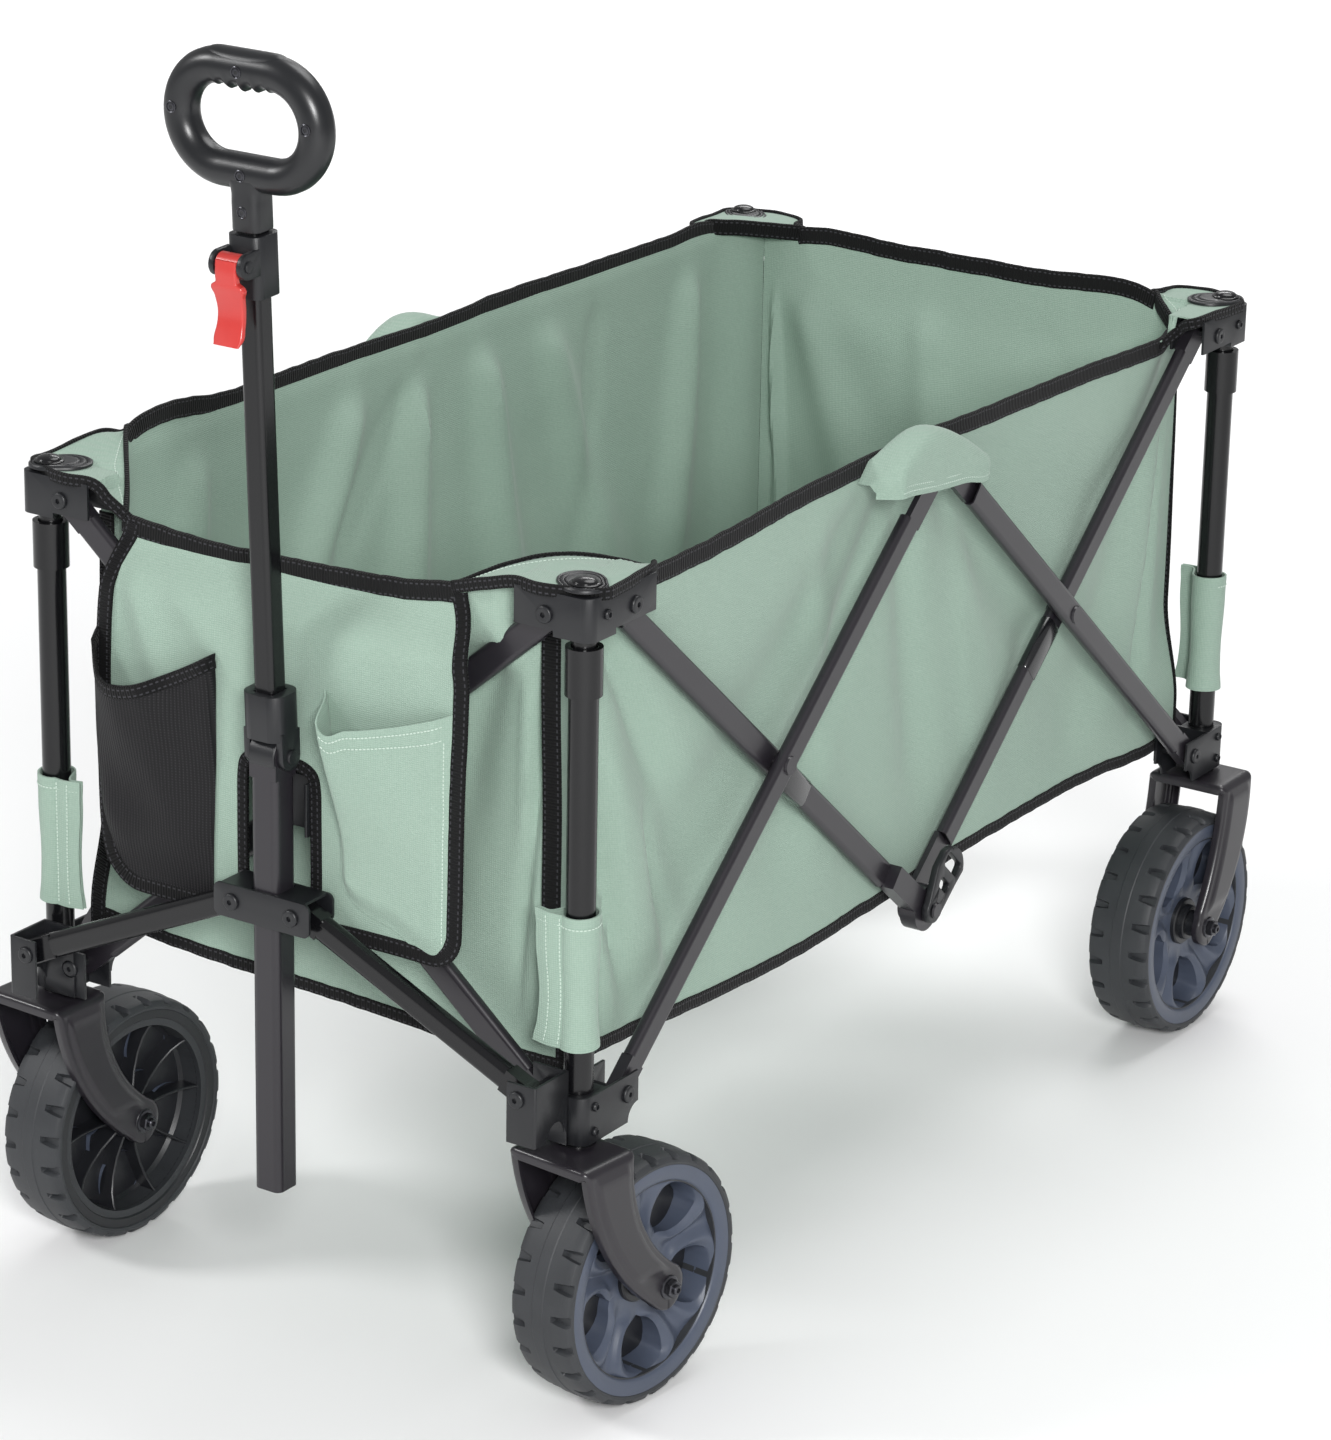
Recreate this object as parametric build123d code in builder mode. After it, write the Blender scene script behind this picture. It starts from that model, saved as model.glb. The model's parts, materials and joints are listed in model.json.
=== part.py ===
from build123d import *
from math import acos, atan2, cos, degrees, hypot, radians, sin
import os

os.makedirs("parts", exist_ok=True)

# Collapsible wagon. +Z is up, -Y is the handle end, +X is the right-hand side, and Z = 0 is the
# floor. The origin lies on the floor under the middle of the whole envelope.

# Driving dimensions, in millimetres
mid_y = 19.6                    # middle of the folding frame, behind the envelope's middle
post_x = 221.0                  # post axis, from the middle plane
post_y = 436.5                  # post axis, from the frame's middle
span = 400.0                    # width of one scissor pair, pivot to pivot, when open
pivot_low = 227.0               # height of the lower scissor pivots
pivot_high = 570.0              # height of the upper scissor pivots

bar_width = 20.0                # scissor bars: flat-oval steel tube
bar_thick = 9.0
bar_wall = 1.2
layer = 6.0                     # each bar's middle, from the post's middle
eye_radius = 9.0
pin_radius = 3.0
rivet_radius = 4.0
running = 0.05                  # radial clearance of a pin that turns
channel_x = (200.0, 223.0)      # link channel on the front bottom brackets
channel_low = 216.0
channel_reach = 38.0
end_gap = 24.0                  # pivot to tube end at a post
lap_gap = 58.0                  # pivot to tube end at a centre joint

tube_outer = 20.0               # lower post tube
tube_inner = 17.0
slider_outer = 16.0             # upper post tube, which slides inside it
slider_inner = 13.0
collar_outer = 25.0
post_bottom = 206.0
collar_low, collar_high = 516.0, 546.0
slider_low = 312.0

channel_half = 14.5             # half-width of the corner brackets
plate = 2.0                     # bracket wall
low_bracket = (206.0, 240.0)
high_bracket = (556.0, 586.0)
high_arm_low = 560.0
cap_plate = 3.0

wheel_radius = 90.0
wheel_width = 52.0
rim_radius = 70.0
tread_notches = 24
fork_top = 203.0
fork_half = 38.0
fork_sheet = 2.6                # fork wall; each leg has a raised panel of the same height
fork_shift = 4.5                # the forks sit this far outboard of their posts
rear_wheel_shift = 4.4
front_trail = 50.0
rear_trail = 44.5
caster_yaw = {"fr": -6.0, "fl": -3.0, "rr": 0.0, "rl": 0.0}
axle_radius = 4.0

mast_y = mid_y - 476.5          # pull-handle mast
mast_size = 22.0
mast_bottom = 125.0
mast_hinge = 440.0
handle_tilt = 2.4
handle_size = 16.6
link_outer = (208.0, 248.0)     # lower link pivots, x and z
link_inner = (25.0, 332.0)
link_size = (18.0, 12.0)

cloth = 2.0                     # thickness of each fabric panel
side_cloth_x = 204.5
end_cloth_y = 419.5
floor_top = 255.0

# Worked-out values
right = Vector(1, 0, 0)
ahead = Vector(0, 1, 0)
front_y = mid_y - post_y
frame_middle = Plane(origin=(0, mid_y, 0), x_dir=(1, 0, 0), z_dir=(0, 1, 0))
cross_z = (pivot_low + pivot_high) / 2
end_x = span / 2
corner_y = mid_y - span


def save(name, *solids):
    """Label one piece, or a group of separate solids, and write its STEP file."""
    piece = solids[0] if len(solids) == 1 else Compound(children=list(solids))
    piece.label = name
    export_step(piece, f"parts/{name}.step")


def mirrored(solids, *planes):
    """Copies of the solids, mirrored about each plane in turn."""
    for about in planes:
        solids = [mirror(solid, about=about) for solid in solids]
    return solids


corner_planes = {
    "fr": (),
    "fl": (Plane.YZ,),
    "rr": (frame_middle,),
    "rl": (Plane.YZ, frame_middle),
}


def slab(x, y, z, mode=Mode.ADD):
    """A box in the part being built, from its (low, high) limits along each axis."""
    with Locations(((x[0] + x[1]) / 2, (y[0] + y[1]) / 2, (z[0] + z[1]) / 2)):
        Box(abs(x[1] - x[0]), abs(y[1] - y[0]), abs(z[1] - z[0]), mode=mode)


def button_bolt(seat, normal, length, radius=pin_radius, head=6.0):
    """A button-head bolt with a hexagon socket. The head sits on seat and faces along normal."""
    face = Plane(origin=seat, z_dir=normal)
    with BuildPart() as bolt:
        with BuildSketch(face):
            Circle(head)
        extrude(amount=2.6)
        fillet(bolt.edges().filter_by(GeomType.CIRCLE).sort_by(face.location.z_axis)[-1], 1.6)
        with BuildSketch(face.offset(2.6)):
            RegularPolygon(2.0, 6)
        extrude(amount=-1.8, mode=Mode.SUBTRACT)
        with BuildSketch(face):
            Circle(radius)
        extrude(amount=-length)
    return bolt.part


# ---------------------------------------------------------------- corner posts
def lower_post():
    """The lower post tube and the moulded collar at its top."""
    base = Plane(origin=(post_x, front_y, post_bottom))
    with BuildPart() as tube:
        with BuildSketch(base):
            Circle(tube_outer / 2)
            Circle(tube_inner / 2, mode=Mode.SUBTRACT)
        extrude(amount=collar_high - post_bottom)
    with BuildPart() as collar:
        with BuildSketch(base.offset(collar_low - post_bottom)):
            Circle(collar_outer / 2)
            Circle(tube_outer / 2, mode=Mode.SUBTRACT)
        extrude(amount=collar_high - collar_low)
        with BuildSketch(base.offset(collar_high - post_bottom)):
            Circle(collar_outer / 2)
            Circle(tube_inner / 2, mode=Mode.SUBTRACT)
        extrude(amount=3.0)
        fillet(collar.edges().filter_by(GeomType.CIRCLE).sort_by(Axis.Z)[-1], 1.0)
    return [tube.part, collar.part]


def upper_post():
    """The upper post tube, fixed in the top bracket, which telescopes in the lower post."""
    with BuildPart() as tube:
        with BuildSketch(Plane(origin=(post_x, front_y, slider_low))):
            Circle(slider_outer / 2)
            Circle(slider_inner / 2, mode=Mode.SUBTRACT)
        extrude(amount=high_bracket[1] - slider_low)
    return [tube.part]


def bracket_shell(z, arm_low, side_end, end_end, bore, pivot, mouth):
    """A corner bracket: a block round the post with one channel along each side of the frame.

    The block is cut away round the end bar's eye, from its pivot height to the bracket's mouth."""
    inner, outer = post_x - channel_half, post_x + channel_half
    near, far = front_y - channel_half, front_y + channel_half
    with BuildPart() as bracket:
        slab((inner, outer), (near, far), z)
        arm = (arm_low, z[1])
        slab((outer - plate, outer), (far, side_end), arm)
        slab((inner, inner + plate), (far, side_end), arm)
        slab((end_end, inner), (near, near + plate), arm)
        slab((end_end, inner), (far - plate, far), arm)
        corner = bracket.edges().filter_by(Axis.Z).sort_by_distance((outer, near, sum(z) / 2))[0]
        fillet(corner, 8.0)
        with BuildSketch(Plane(origin=(post_x, front_y, z[0]))):
            Circle(bore)
        extrude(amount=z[1] - z[0], mode=Mode.SUBTRACT)
        with BuildSketch(Plane(origin=(end_x, far - plate, pivot), x_dir=right, z_dir=-ahead)):
            Circle(eye_radius + 0.6)
        extrude(amount=2 * (channel_half - plate), mode=Mode.SUBTRACT)
        reach = eye_radius + 0.6
        slab((end_x - reach, end_x + reach), (near + plate, far - plate), sorted((pivot, mouth)),
             mode=Mode.SUBTRACT)
    return bracket.part


def pivot_bolts(z):
    """The two bolts that carry the scissor bars in a corner bracket at height z."""
    outer = post_x + channel_half
    near = front_y - channel_half
    side = button_bolt((outer, corner_y, z), right, 2 * channel_half)
    end = button_bolt((end_x, near, z), -ahead, 2 * channel_half)
    return [side, end]


def low_corner(front):
    """Bottom bracket with its bolts. A front one also has the channel that holds a lower link."""
    shell = bracket_shell(low_bracket, low_bracket[0], corner_y + 13, 188.0, tube_outer / 2,
                          pivot_low, low_bracket[1])
    near = front_y - channel_half
    face = near - channel_reach
    outer = post_x + channel_half
    with BuildPart() as bracket:
        add(shell)
        with BuildSketch(Plane(origin=(post_x, corner_y + 13, low_bracket[0]), z_dir=right)):
            Circle(12.0)
        extrude(amount=2 * channel_half, both=True, mode=Mode.SUBTRACT)
        for seat, way in (((0, corner_y, pivot_low), right), ((end_x, 0, pivot_low), ahead)):
            with BuildSketch(Plane(origin=seat, z_dir=way)):
                Circle(pin_radius)
            extrude(amount=2 * post_y, both=True, mode=Mode.SUBTRACT)
    solids = [bracket.part, *pivot_bolts(pivot_low)]
    for height in (low_bracket[0] + 8, low_bracket[0] + 26):
        solids.append(button_bolt((outer, front_y - 2, height), right, plate, 1.6, 3.2))
    if front:
        top = link_outer[1] + 11
        with BuildPart() as channel:
            slab(channel_x, (face, face + plate), (channel_low, top))
            slab((channel_x[1] - plate, channel_x[1]), (face, near), (channel_low, top))
            slab((channel_x[0] - 4, channel_x[1]), (near - plate, near), (low_bracket[0], top))
            corner = channel.edges().filter_by(Axis.Z).sort_by_distance((channel_x[1], face, top))[0]
            fillet(corner, 2.0)
            with BuildSketch(Plane(origin=(channel_x[1] - plate / 2, near - 14, channel_low), z_dir=right)):
                Circle(11.0)
            extrude(amount=4.0, both=True, mode=Mode.SUBTRACT)
            with BuildSketch(Plane(origin=(link_outer[0], face, link_outer[1]), z_dir=ahead)):
                Circle(pin_radius)
            extrude(amount=60.0, mode=Mode.SUBTRACT)
            with BuildSketch(Plane(origin=(end_x, near, pivot_low), z_dir=ahead)):
                Circle(6.4)
            extrude(amount=4.0, both=True, mode=Mode.SUBTRACT)
        link_bolt = button_bolt((link_outer[0], face, link_outer[1]), -ahead, near - face)
        solids += [channel.part, link_bolt]
    return solids


def high_corner():
    """Top bracket with its brim, the ridged cap and domed bolt above the post, and its bolts."""
    shell = bracket_shell(high_bracket, high_arm_low, mid_y - 376.0, 176.0, slider_outer / 2,
                          pivot_high, high_bracket[0])
    inner, outer = post_x - channel_half, post_x + channel_half
    near, far = front_y - channel_half, front_y + channel_half
    brim = (high_bracket[1], high_bracket[1] + cap_plate)
    with BuildPart() as bracket:
        add(shell)
        slab((174.0, outer + 1.5), (near - 1.5, far), brim)
        slab((inner, outer + 1.5), (near - 1.5, mid_y - 374.0), brim)
        corner = bracket.edges().filter_by(Axis.Z).sort_by_distance((outer + 1.5, near - 1.5, brim[1]))[0]
        fillet(corner, 9.0)
        for seat, way in (((0, corner_y, pivot_high), right), ((end_x, 0, pivot_high), ahead)):
            with BuildSketch(Plane(origin=seat, z_dir=way)):
                Circle(pin_radius)
            extrude(amount=2 * post_y, both=True, mode=Mode.SUBTRACT)
    with BuildPart() as cap:
        for radius, height in ((13.0, 1.0), (10.5, 1.6)):
            with BuildSketch(Plane(origin=(post_x, front_y, brim[1]))):
                Circle(radius)
            extrude(amount=height)
        with BuildSketch(Plane(origin=(post_x, front_y, brim[1] + 1.6))):
            Circle(8.5)
        extrude(amount=3.0)
        fillet(cap.edges().filter_by(GeomType.CIRCLE).sort_by(Axis.Z)[-1], 2.6)
    fixing = button_bolt((outer, front_y + 4, pivot_high + 2), right, plate, 1.6, 3.6)
    return [bracket.part, cap.part, fixing, *pivot_bolts(pivot_high)]


# ---------------------------------------------------------------- scissor bars
def flat_tube(start, end, normal, size, wall, gaps):
    """A flat-oval tube between two pivots, stopping short of them by the two gaps."""
    along = (end - start).normalized()
    section = Plane(origin=start + along * gaps[0], x_dir=normal, z_dir=along)
    corner = min(size) / 2 - 0.6
    with BuildPart() as tube:
        with BuildSketch(section):
            RectangleRounded(size[0], size[1], corner)
            RectangleRounded(size[0] - 2 * wall, size[1] - 2 * wall, corner - wall, mode=Mode.SUBTRACT)
        extrude(amount=(end - start).length - sum(gaps))
    return tube.part


def bar_end(pivot, towards, normal, reach, lap, radius, hole):
    """A bar's end fitting: an eye on its pivot and a tongue that meets the tube end.

    lap holds the fitting's two faces, measured along normal from the bar's middle."""
    along = (towards - pivot).normalized()
    face = Plane(origin=pivot + normal * lap[0], x_dir=along, z_dir=normal)
    with BuildPart() as fitting:
        with BuildSketch(face):
            Circle(radius)
            with Locations((reach / 2, 0)):
                Rectangle(reach, bar_width - 2)
            Circle(hole, mode=Mode.SUBTRACT)
        extrude(amount=lap[1] - lap[0])
    return fitting.part


def drilled(solid, point, normal, radius):
    """The solid with a hole right through it at point, along normal."""
    with BuildPart() as result:
        add(solid)
        with BuildSketch(Plane(origin=point, z_dir=normal)):
            Circle(radius)
        extrude(amount=2 * bar_thick, both=True, mode=Mode.SUBTRACT)
    return result.part


def rivet(point, normal, reach, radius, head, heights):
    """A rivet through a joint: reach holds the faces of its two heads along normal."""
    with BuildPart() as pin:
        with BuildSketch(Plane(origin=point + normal * reach[0], z_dir=normal)):
            Circle(radius)
        extrude(amount=reach[1] - reach[0])
        for face, way, height in ((reach[0], -1, heights[0]), (reach[1], 1, heights[1])):
            with BuildSketch(Plane(origin=point + normal * face, z_dir=normal * way)):
                Circle(head)
            extrude(amount=height, taper=18)
    return pin.part


full_lap = (-bar_thick / 2, bar_thick / 2)
outer_lap = (0.2, bar_thick / 2)
inner_lap = (-bar_thick / 2, -0.2)
disc_lap = (0.2, 13.5)


def scissor_bar(start, end, normal, offset, fitting, own_rivet):
    """One bar from a post pivot to its far pivot, with both end fittings.

    offset is the bar's layer, measured from the post's middle along normal. fitting holds the far
    end's gap, lap and eye radius. The bar in the outer layer carries the crossing rivet."""
    gap, lap, radius = fitting
    shift = normal * offset
    start, end = start + shift, end + shift
    middle = (start + end) / 2
    size = (bar_thick, bar_width)
    tube = flat_tube(start, end, normal, size, bar_wall, (end_gap, gap))
    tube = drilled(tube, middle, normal, rivet_radius + (0 if own_rivet else running))
    hole = pin_radius + running
    solids = [tube, bar_end(start, end, normal, end_gap, full_lap, eye_radius, hole)]
    solids.append(bar_end(end, start, normal, gap, lap, radius, hole))
    if own_rivet:
        back = -2 * layer - bar_thick / 2 - 0.2
        solids.append(
            rivet(middle, normal, (back, bar_thick / 2), rivet_radius, 7.0, (1.2, 1.6))
        )
    return solids


def side_bars():
    """The four bars of the right-hand side, by name."""
    low, high = Vector(post_x, 0, pivot_low), Vector(post_x, 0, pivot_high)
    centre = ahead * mid_y
    reach = ahead * span
    bars = {}
    for end, way, high_lap, low_lap in (("front", -1, outer_lap, disc_lap), ("rear", 1, inner_lap, inner_lap)):
        post = centre + reach * way
        top_fitting = (lap_gap, high_lap, eye_radius + 1)
        low_fitting = (lap_gap, low_lap, 17.0 if end == "front" else 12.0)
        bars[f"{end}_rising"] = scissor_bar(low + post, high + centre, right, layer, top_fitting, True)
        bars[f"{end}_falling"] = scissor_bar(high + post, low + centre, right, -layer, low_fitting, False)
    top_pin = Vector(post_x + layer, mid_y, pivot_high)
    bars["front_rising"].append(
        rivet(top_pin, right, (-bar_thick / 2, bar_thick / 2), pin_radius, 6.0, (1.0, 1.4))
    )
    low_pin = Vector(post_x - layer, mid_y, pivot_low)
    bars["front_falling"].append(
        rivet(low_pin, right, (-bar_thick / 2, 21.0), pin_radius, 6.0, (1.0, 1.6))
    )
    return bars


def end_bars():
    """The two bars of the front end. The outer one rises from the right-hand post."""
    middle = ahead * (front_y)
    low, high = middle + Vector(0, 0, pivot_low), middle + Vector(0, 0, pivot_high)
    fitting = (end_gap, full_lap, eye_radius)
    return {
        "outer": scissor_bar(low + right * end_x, high - right * end_x, -ahead, layer, fitting, True),
        "inner": scissor_bar(high + right * end_x, low - right * end_x, -ahead, -layer, fitting, False),
    }


# ---------------------------------------------------------------- wheels and forks
def fork(trail, back, plate_span, lead, tail, boss):
    """A right-hand wheel fork about its own kingpin axis, with its axle.

    back is +1 where the wheel trails towards +Y. lead and tail are the two edges of a leg: each
    is an arc through three points, as (distance along the trail, height)."""
    inner, outer = fork_half - 2 * fork_sheet, fork_half
    middle = fork_shift
    with BuildPart() as body:
        slab((middle - outer, middle + outer), (back * plate_span[0], back * plate_span[1]),
             (fork_top - 6, fork_top))
        fillet(body.edges().filter_by(Axis.Y).sort_by(Axis.Z)[-2:], 4.0)
        for side in (-1, 1):
            turn = back * side
            face = Plane(origin=(middle + side * inner, 0, 0), x_dir=(0, side, 0), z_dir=(side, 0, 0))
            for inset, depth in ((0.0, fork_sheet), (5.0, 2 * fork_sheet)):
                with BuildSketch(face):
                    with BuildLine():
                        edge = ThreePointArc(*[(turn * u, z) for u, z in lead])
                        other = ThreePointArc(*[(turn * u, z) for u, z in tail])
                        Line(edge @ 1, other @ 1)
                        Line(edge @ 0, other @ 0)
                    make_face()
                    with Locations((turn * trail, wheel_radius)):
                        Circle(boss)
                    if inset:
                        offset(amount=-inset, kind=Kind.INTERSECTION)
                extrude(amount=depth)
        with BuildSketch(Plane.XY.offset(fork_top)):
            Circle(11.0)
        extrude(amount=post_bottom - fork_top - 0.2)
        with BuildSketch(Plane.XY.offset(fork_top)):
            Circle(tube_inner / 2 - running)
        extrude(amount=32.0)
        with BuildSketch(Plane(origin=(middle, back * trail, wheel_radius), z_dir=right)):
            Circle(axle_radius)
        extrude(amount=2 * outer, both=True, mode=Mode.SUBTRACT)
    with BuildPart() as axle:
        with BuildSketch(Plane(origin=(middle - outer, back * trail, wheel_radius), z_dir=right)):
            Circle(axle_radius)
        extrude(amount=2 * outer)
        for side in (-1, 1):
            outside = Plane(origin=(middle + side * outer, back * trail, wheel_radius), z_dir=(side, 0, 0))
            with BuildSketch(outside):
                RegularPolygon(6.5, 6)
            extrude(amount=4.0)
            with BuildSketch(outside.offset(4.0)):
                Circle(4.2)
            extrude(amount=2.5)
    return [body.part, axle.part]


def hub(low, high):
    """The moulded wheel centre about the X axis, its spoked face towards +X.

    low and high are the ends of its hub tube."""
    with BuildPart() as centre:
        with BuildSketch(Plane.XY):
            with BuildLine():
                Polyline((-24, 66), (-24, rim_radius), (24, rim_radius), (24, 66), (12, 63), (-24, 66))
            make_face()
        revolve(axis=Axis.X)
        with BuildSketch(Plane.YZ.offset(8.0)):
            Circle(64.0)
            with PolarLocations(42.0, 5, start_angle=18):
                SlotOverall(36.0, 24.0, rotation=90, mode=Mode.SUBTRACT)
        extrude(amount=8.0)
        with BuildSketch(Plane.YZ.offset(-24.0)):
            Circle(15.0)
        extrude(amount=48.0)
        with BuildSketch(Plane.YZ.offset(-18.0)):
            with PolarLocations(39.0, 10):
                Rectangle(50.0, 1.8)
        extrude(amount=26.0)
        with BuildSketch(Plane.YZ.offset(low)):
            Circle(7.0)
        extrude(amount=high - low)
        with BuildSketch(Plane.YZ.offset(low)):
            Circle(axle_radius + running)
        extrude(amount=high - low, mode=Mode.SUBTRACT)
    return centre.part


def tyre():
    """The tyre about the X axis, with wedge-shaped notches cut across both shoulders."""
    half = wheel_width / 2
    with BuildPart() as ring:
        with BuildSketch(Plane.XY):
            with BuildLine():
                Polyline((-half, rim_radius), (half, rim_radius), (half, 84), (half - 4, 88.6))
                ThreePointArc((half - 4, 88.6), (0, wheel_radius), (4 - half, 88.6))
                Polyline((4 - half, 88.6), (-half, 84), (-half, rim_radius))
            make_face()
        revolve(axis=Axis.X)
        for side, phase in ((1, 0.0), (-1, 0.5)):
            for notch in range(tread_notches):
                turn = radians(360 / tread_notches * (notch + phase))
                out = Vector(0, cos(turn), sin(turn))
                floor = Plane(origin=out * 84.5, x_dir=right * side, z_dir=out)
                with BuildSketch(floor):
                    with BuildLine():
                        Polyline((half + 1, -4), (half + 1, 4), (half - 13, 2), (half - 13, -2),
                                 (half + 1, -4))
                    make_face()
                extrude(amount=8.0, mode=Mode.SUBTRACT)
    return ring.part


# ---------------------------------------------------------------- mast, links and handle
def lower_link():
    """The right-hand lower link: a rectangular tube with a flattened eye at each end."""
    start = Vector(link_outer[0], mast_y, link_outer[1])
    end = Vector(link_inner[0], mast_y, link_inner[1])
    depth, width = link_size[1], link_size[0]
    tube = flat_tube(start, end, -ahead, (depth, width), 1.4, (18.0, 18.0))
    eyes = []
    for pivot, other in ((start, end), (end, start)):
        along = (other - pivot).normalized()
        with BuildPart() as eye:
            with BuildSketch(Plane(origin=pivot, x_dir=along, z_dir=-ahead)):
                Circle(eye_radius)
                with Locations((9.0, 0)):
                    Rectangle(18.0, width - 1)
                Circle(pin_radius + running, mode=Mode.SUBTRACT)
            extrude(amount=depth / 2, both=True)
        eyes.append(eye.part)
    return [tube, *eyes]


def link_without_outer_eye(solids):
    """The left-hand link stops at its tube, because its outer pivot is the loop's open one."""
    tube, _, inner_eye = solids
    return [tube, inner_eye]


def mast_bracket():
    """The inverted channel that clamps the mast and holds both lower links."""
    half = 40.0
    near, far = mast_y - 14.0, mast_y + 14.0
    low, high = link_inner[1] - 12, link_inner[1] + 12
    with BuildPart() as bracket:
        slab((-half, half), (near, near + plate), (low, high))
        slab((-half, half), (far - plate, far), (low + 4, high))
        corners = bracket.edges().filter_by(Axis.Y)
        fillet(corners, 5.0)
        slab((5 - half, half - 5), (near, far), (high - plate, high))
        slab((-mast_size / 2, mast_size / 2), (mast_y - mast_size / 2, mast_y + mast_size / 2),
             (low, high), mode=Mode.SUBTRACT)
        for side in (-1, 1):
            with BuildSketch(Plane(origin=(side * link_inner[0], near, link_inner[1]), z_dir=ahead)):
                Circle(pin_radius)
            extrude(amount=40.0, mode=Mode.SUBTRACT)
    bolts = [
        button_bolt((side * link_inner[0], near, link_inner[1]), -ahead, 28.0) for side in (-1, 1)
    ]
    return [bracket.part, *bolts]


def square_tube(base, size, wall, length, corner):
    """A square tube with rounded corners, standing on the plane."""
    with BuildPart() as tube:
        with BuildSketch(base):
            RectangleRounded(size, size, corner)
            RectangleRounded(size - 2 * wall, size - 2 * wall, corner - wall, mode=Mode.SUBTRACT)
        extrude(amount=length)
    return tube.part


def mast():
    """The lower mast tube with the round-topped knuckle that the handle tips on."""
    plug_low = mast_hinge - 16
    tube = square_tube(Plane(origin=(0, mast_y, mast_bottom)), mast_size, 1.5, plug_low - mast_bottom, 5.0)
    half = mast_size / 2
    with BuildPart() as knuckle:
        with BuildSketch(Plane(origin=(-half, mast_y, mast_hinge), x_dir=(0, 1, 0), z_dir=(1, 0, 0))):
            Circle(half)
            with Locations((0, -8)):
                Rectangle(mast_size, 16)
            Circle(pin_radius + running, mode=Mode.SUBTRACT)
        extrude(amount=mast_size)
    return [tube, knuckle.part]


lean = radians(handle_tilt)
pole = Plane(origin=(0, mast_y, mast_hinge), x_dir=(1, 0, 0), z_dir=(0, -sin(lean), cos(lean)))
pole_side = Plane(origin=pole.origin, x_dir=pole.y_dir, z_dir=(1, 0, 0))
handle_low = 20.0
yoke_top = 44.5
handle_length = 338.0
handle_wall = 1.4
inner_size = 13.2               # inner telescoping tube
inner_low = 75.0
collar_z = (316.0, 357.0)       # lever collar, along the handle
lever_z = 341.0
lever_y = -22.0
stem_low = 359.0
stem_size = 22.0
grip_z = 429.6
loop_turn = 33.5                # bend radius of the loop's centre line
loop_half = 20.2                # half its straight length
grip_radius = 11.8


def handle_yoke():
    """The D-shaped collar whose two ears straddle the mast's knuckle, and its hinge rivet."""
    with BuildPart() as yoke:
        with BuildSketch(pole.offset(12.5)):
            RectangleRounded(32.0, 28.0, 10.0)
            Rectangle(handle_size, handle_size, mode=Mode.SUBTRACT)
        extrude(amount=yoke_top - 12.5)
        for side in (-1, 1):
            with BuildSketch(pole_side.offset(side * 11.3)):
                Circle(9.5)
                with Locations((0, 9)):
                    Rectangle(19.0, 18.0)
                Circle(pin_radius, mode=Mode.SUBTRACT)
            extrude(amount=side * 4.7)
        with BuildSketch(pole.offset(12.5)):
            Rectangle(handle_size, handle_size)
        extrude(amount=handle_low - 12.5)
    pin = rivet(pole.origin, right, (-16.0, 16.0), pin_radius, 5.0, (1.6, 1.6))
    return [yoke.part, pin]


def lever_collar():
    """The sleeve at the top of the handle's outer tube, with two ears and the cam lever's pin."""
    with BuildPart() as collar:
        with BuildSketch(pole.offset(collar_z[0])):
            RectangleRounded(26.0, 26.0, 7.0)
        extrude(amount=collar_z[1] - collar_z[0])
        for side in (-1, 1):
            with BuildSketch(pole_side.offset(side * 9.4)):
                with Locations((lever_y, lever_z)):
                    Circle(8.5)
                with Locations((lever_y / 2 - 5, lever_z)):
                    Rectangle(-lever_y - 10, 17.0)
                with Locations((lever_y, lever_z)):
                    Circle(2.5, mode=Mode.SUBTRACT)
            extrude(amount=side * 3.6)
        with BuildSketch(pole.offset(collar_z[0])):
            RectangleRounded(handle_size, handle_size, 4.0)
        extrude(amount=collar_z[1] - collar_z[0], mode=Mode.SUBTRACT)
    seat = pole.from_local_coords(Vector(0, lever_y, lever_z))
    pin = rivet(seat, right, (-13.0, 13.0), 2.5, 4.0, (1.2, 1.2))
    return [collar.part, pin]


def cam_lever():
    """The red cam lever: a barrel on the collar's pin, and a paddle that hangs from it."""
    with BuildPart() as lever:
        with BuildSketch(pole_side.offset(-9.0)):
            with Locations((lever_y, lever_z)):
                Circle(7.6)
        extrude(amount=18.0)
        paddle = Plane(origin=pole.from_local_coords(Vector(0, lever_y + 1.0, lever_z)),
                       x_dir=(1, 0, 0), z_dir=-pole.y_dir)
        with BuildSketch(paddle):
            with BuildLine():
                Line((-8.5, 0), (8.5, 0))
                Line((8.5, 0), (8.5, -10))
                Line((8.5, -10), (12, -12))
                ThreePointArc((12, -12), (10.2, -30), (11.5, -46))
                ThreePointArc((11.5, -46), (0, -52), (-11.5, -46))
                ThreePointArc((-11.5, -46), (-10.2, -30), (-12, -12))
                Line((-12, -12), (-8.5, -10))
                Line((-8.5, -10), (-8.5, 0))
            make_face()
        extrude(amount=5.5)
        with BuildSketch(pole_side.offset(-9.5)):
            with Locations((lever_y, lever_z)):
                Circle(2.5 + running)
        extrude(amount=20.0, mode=Mode.SUBTRACT)
    return [lever.part]


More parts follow.
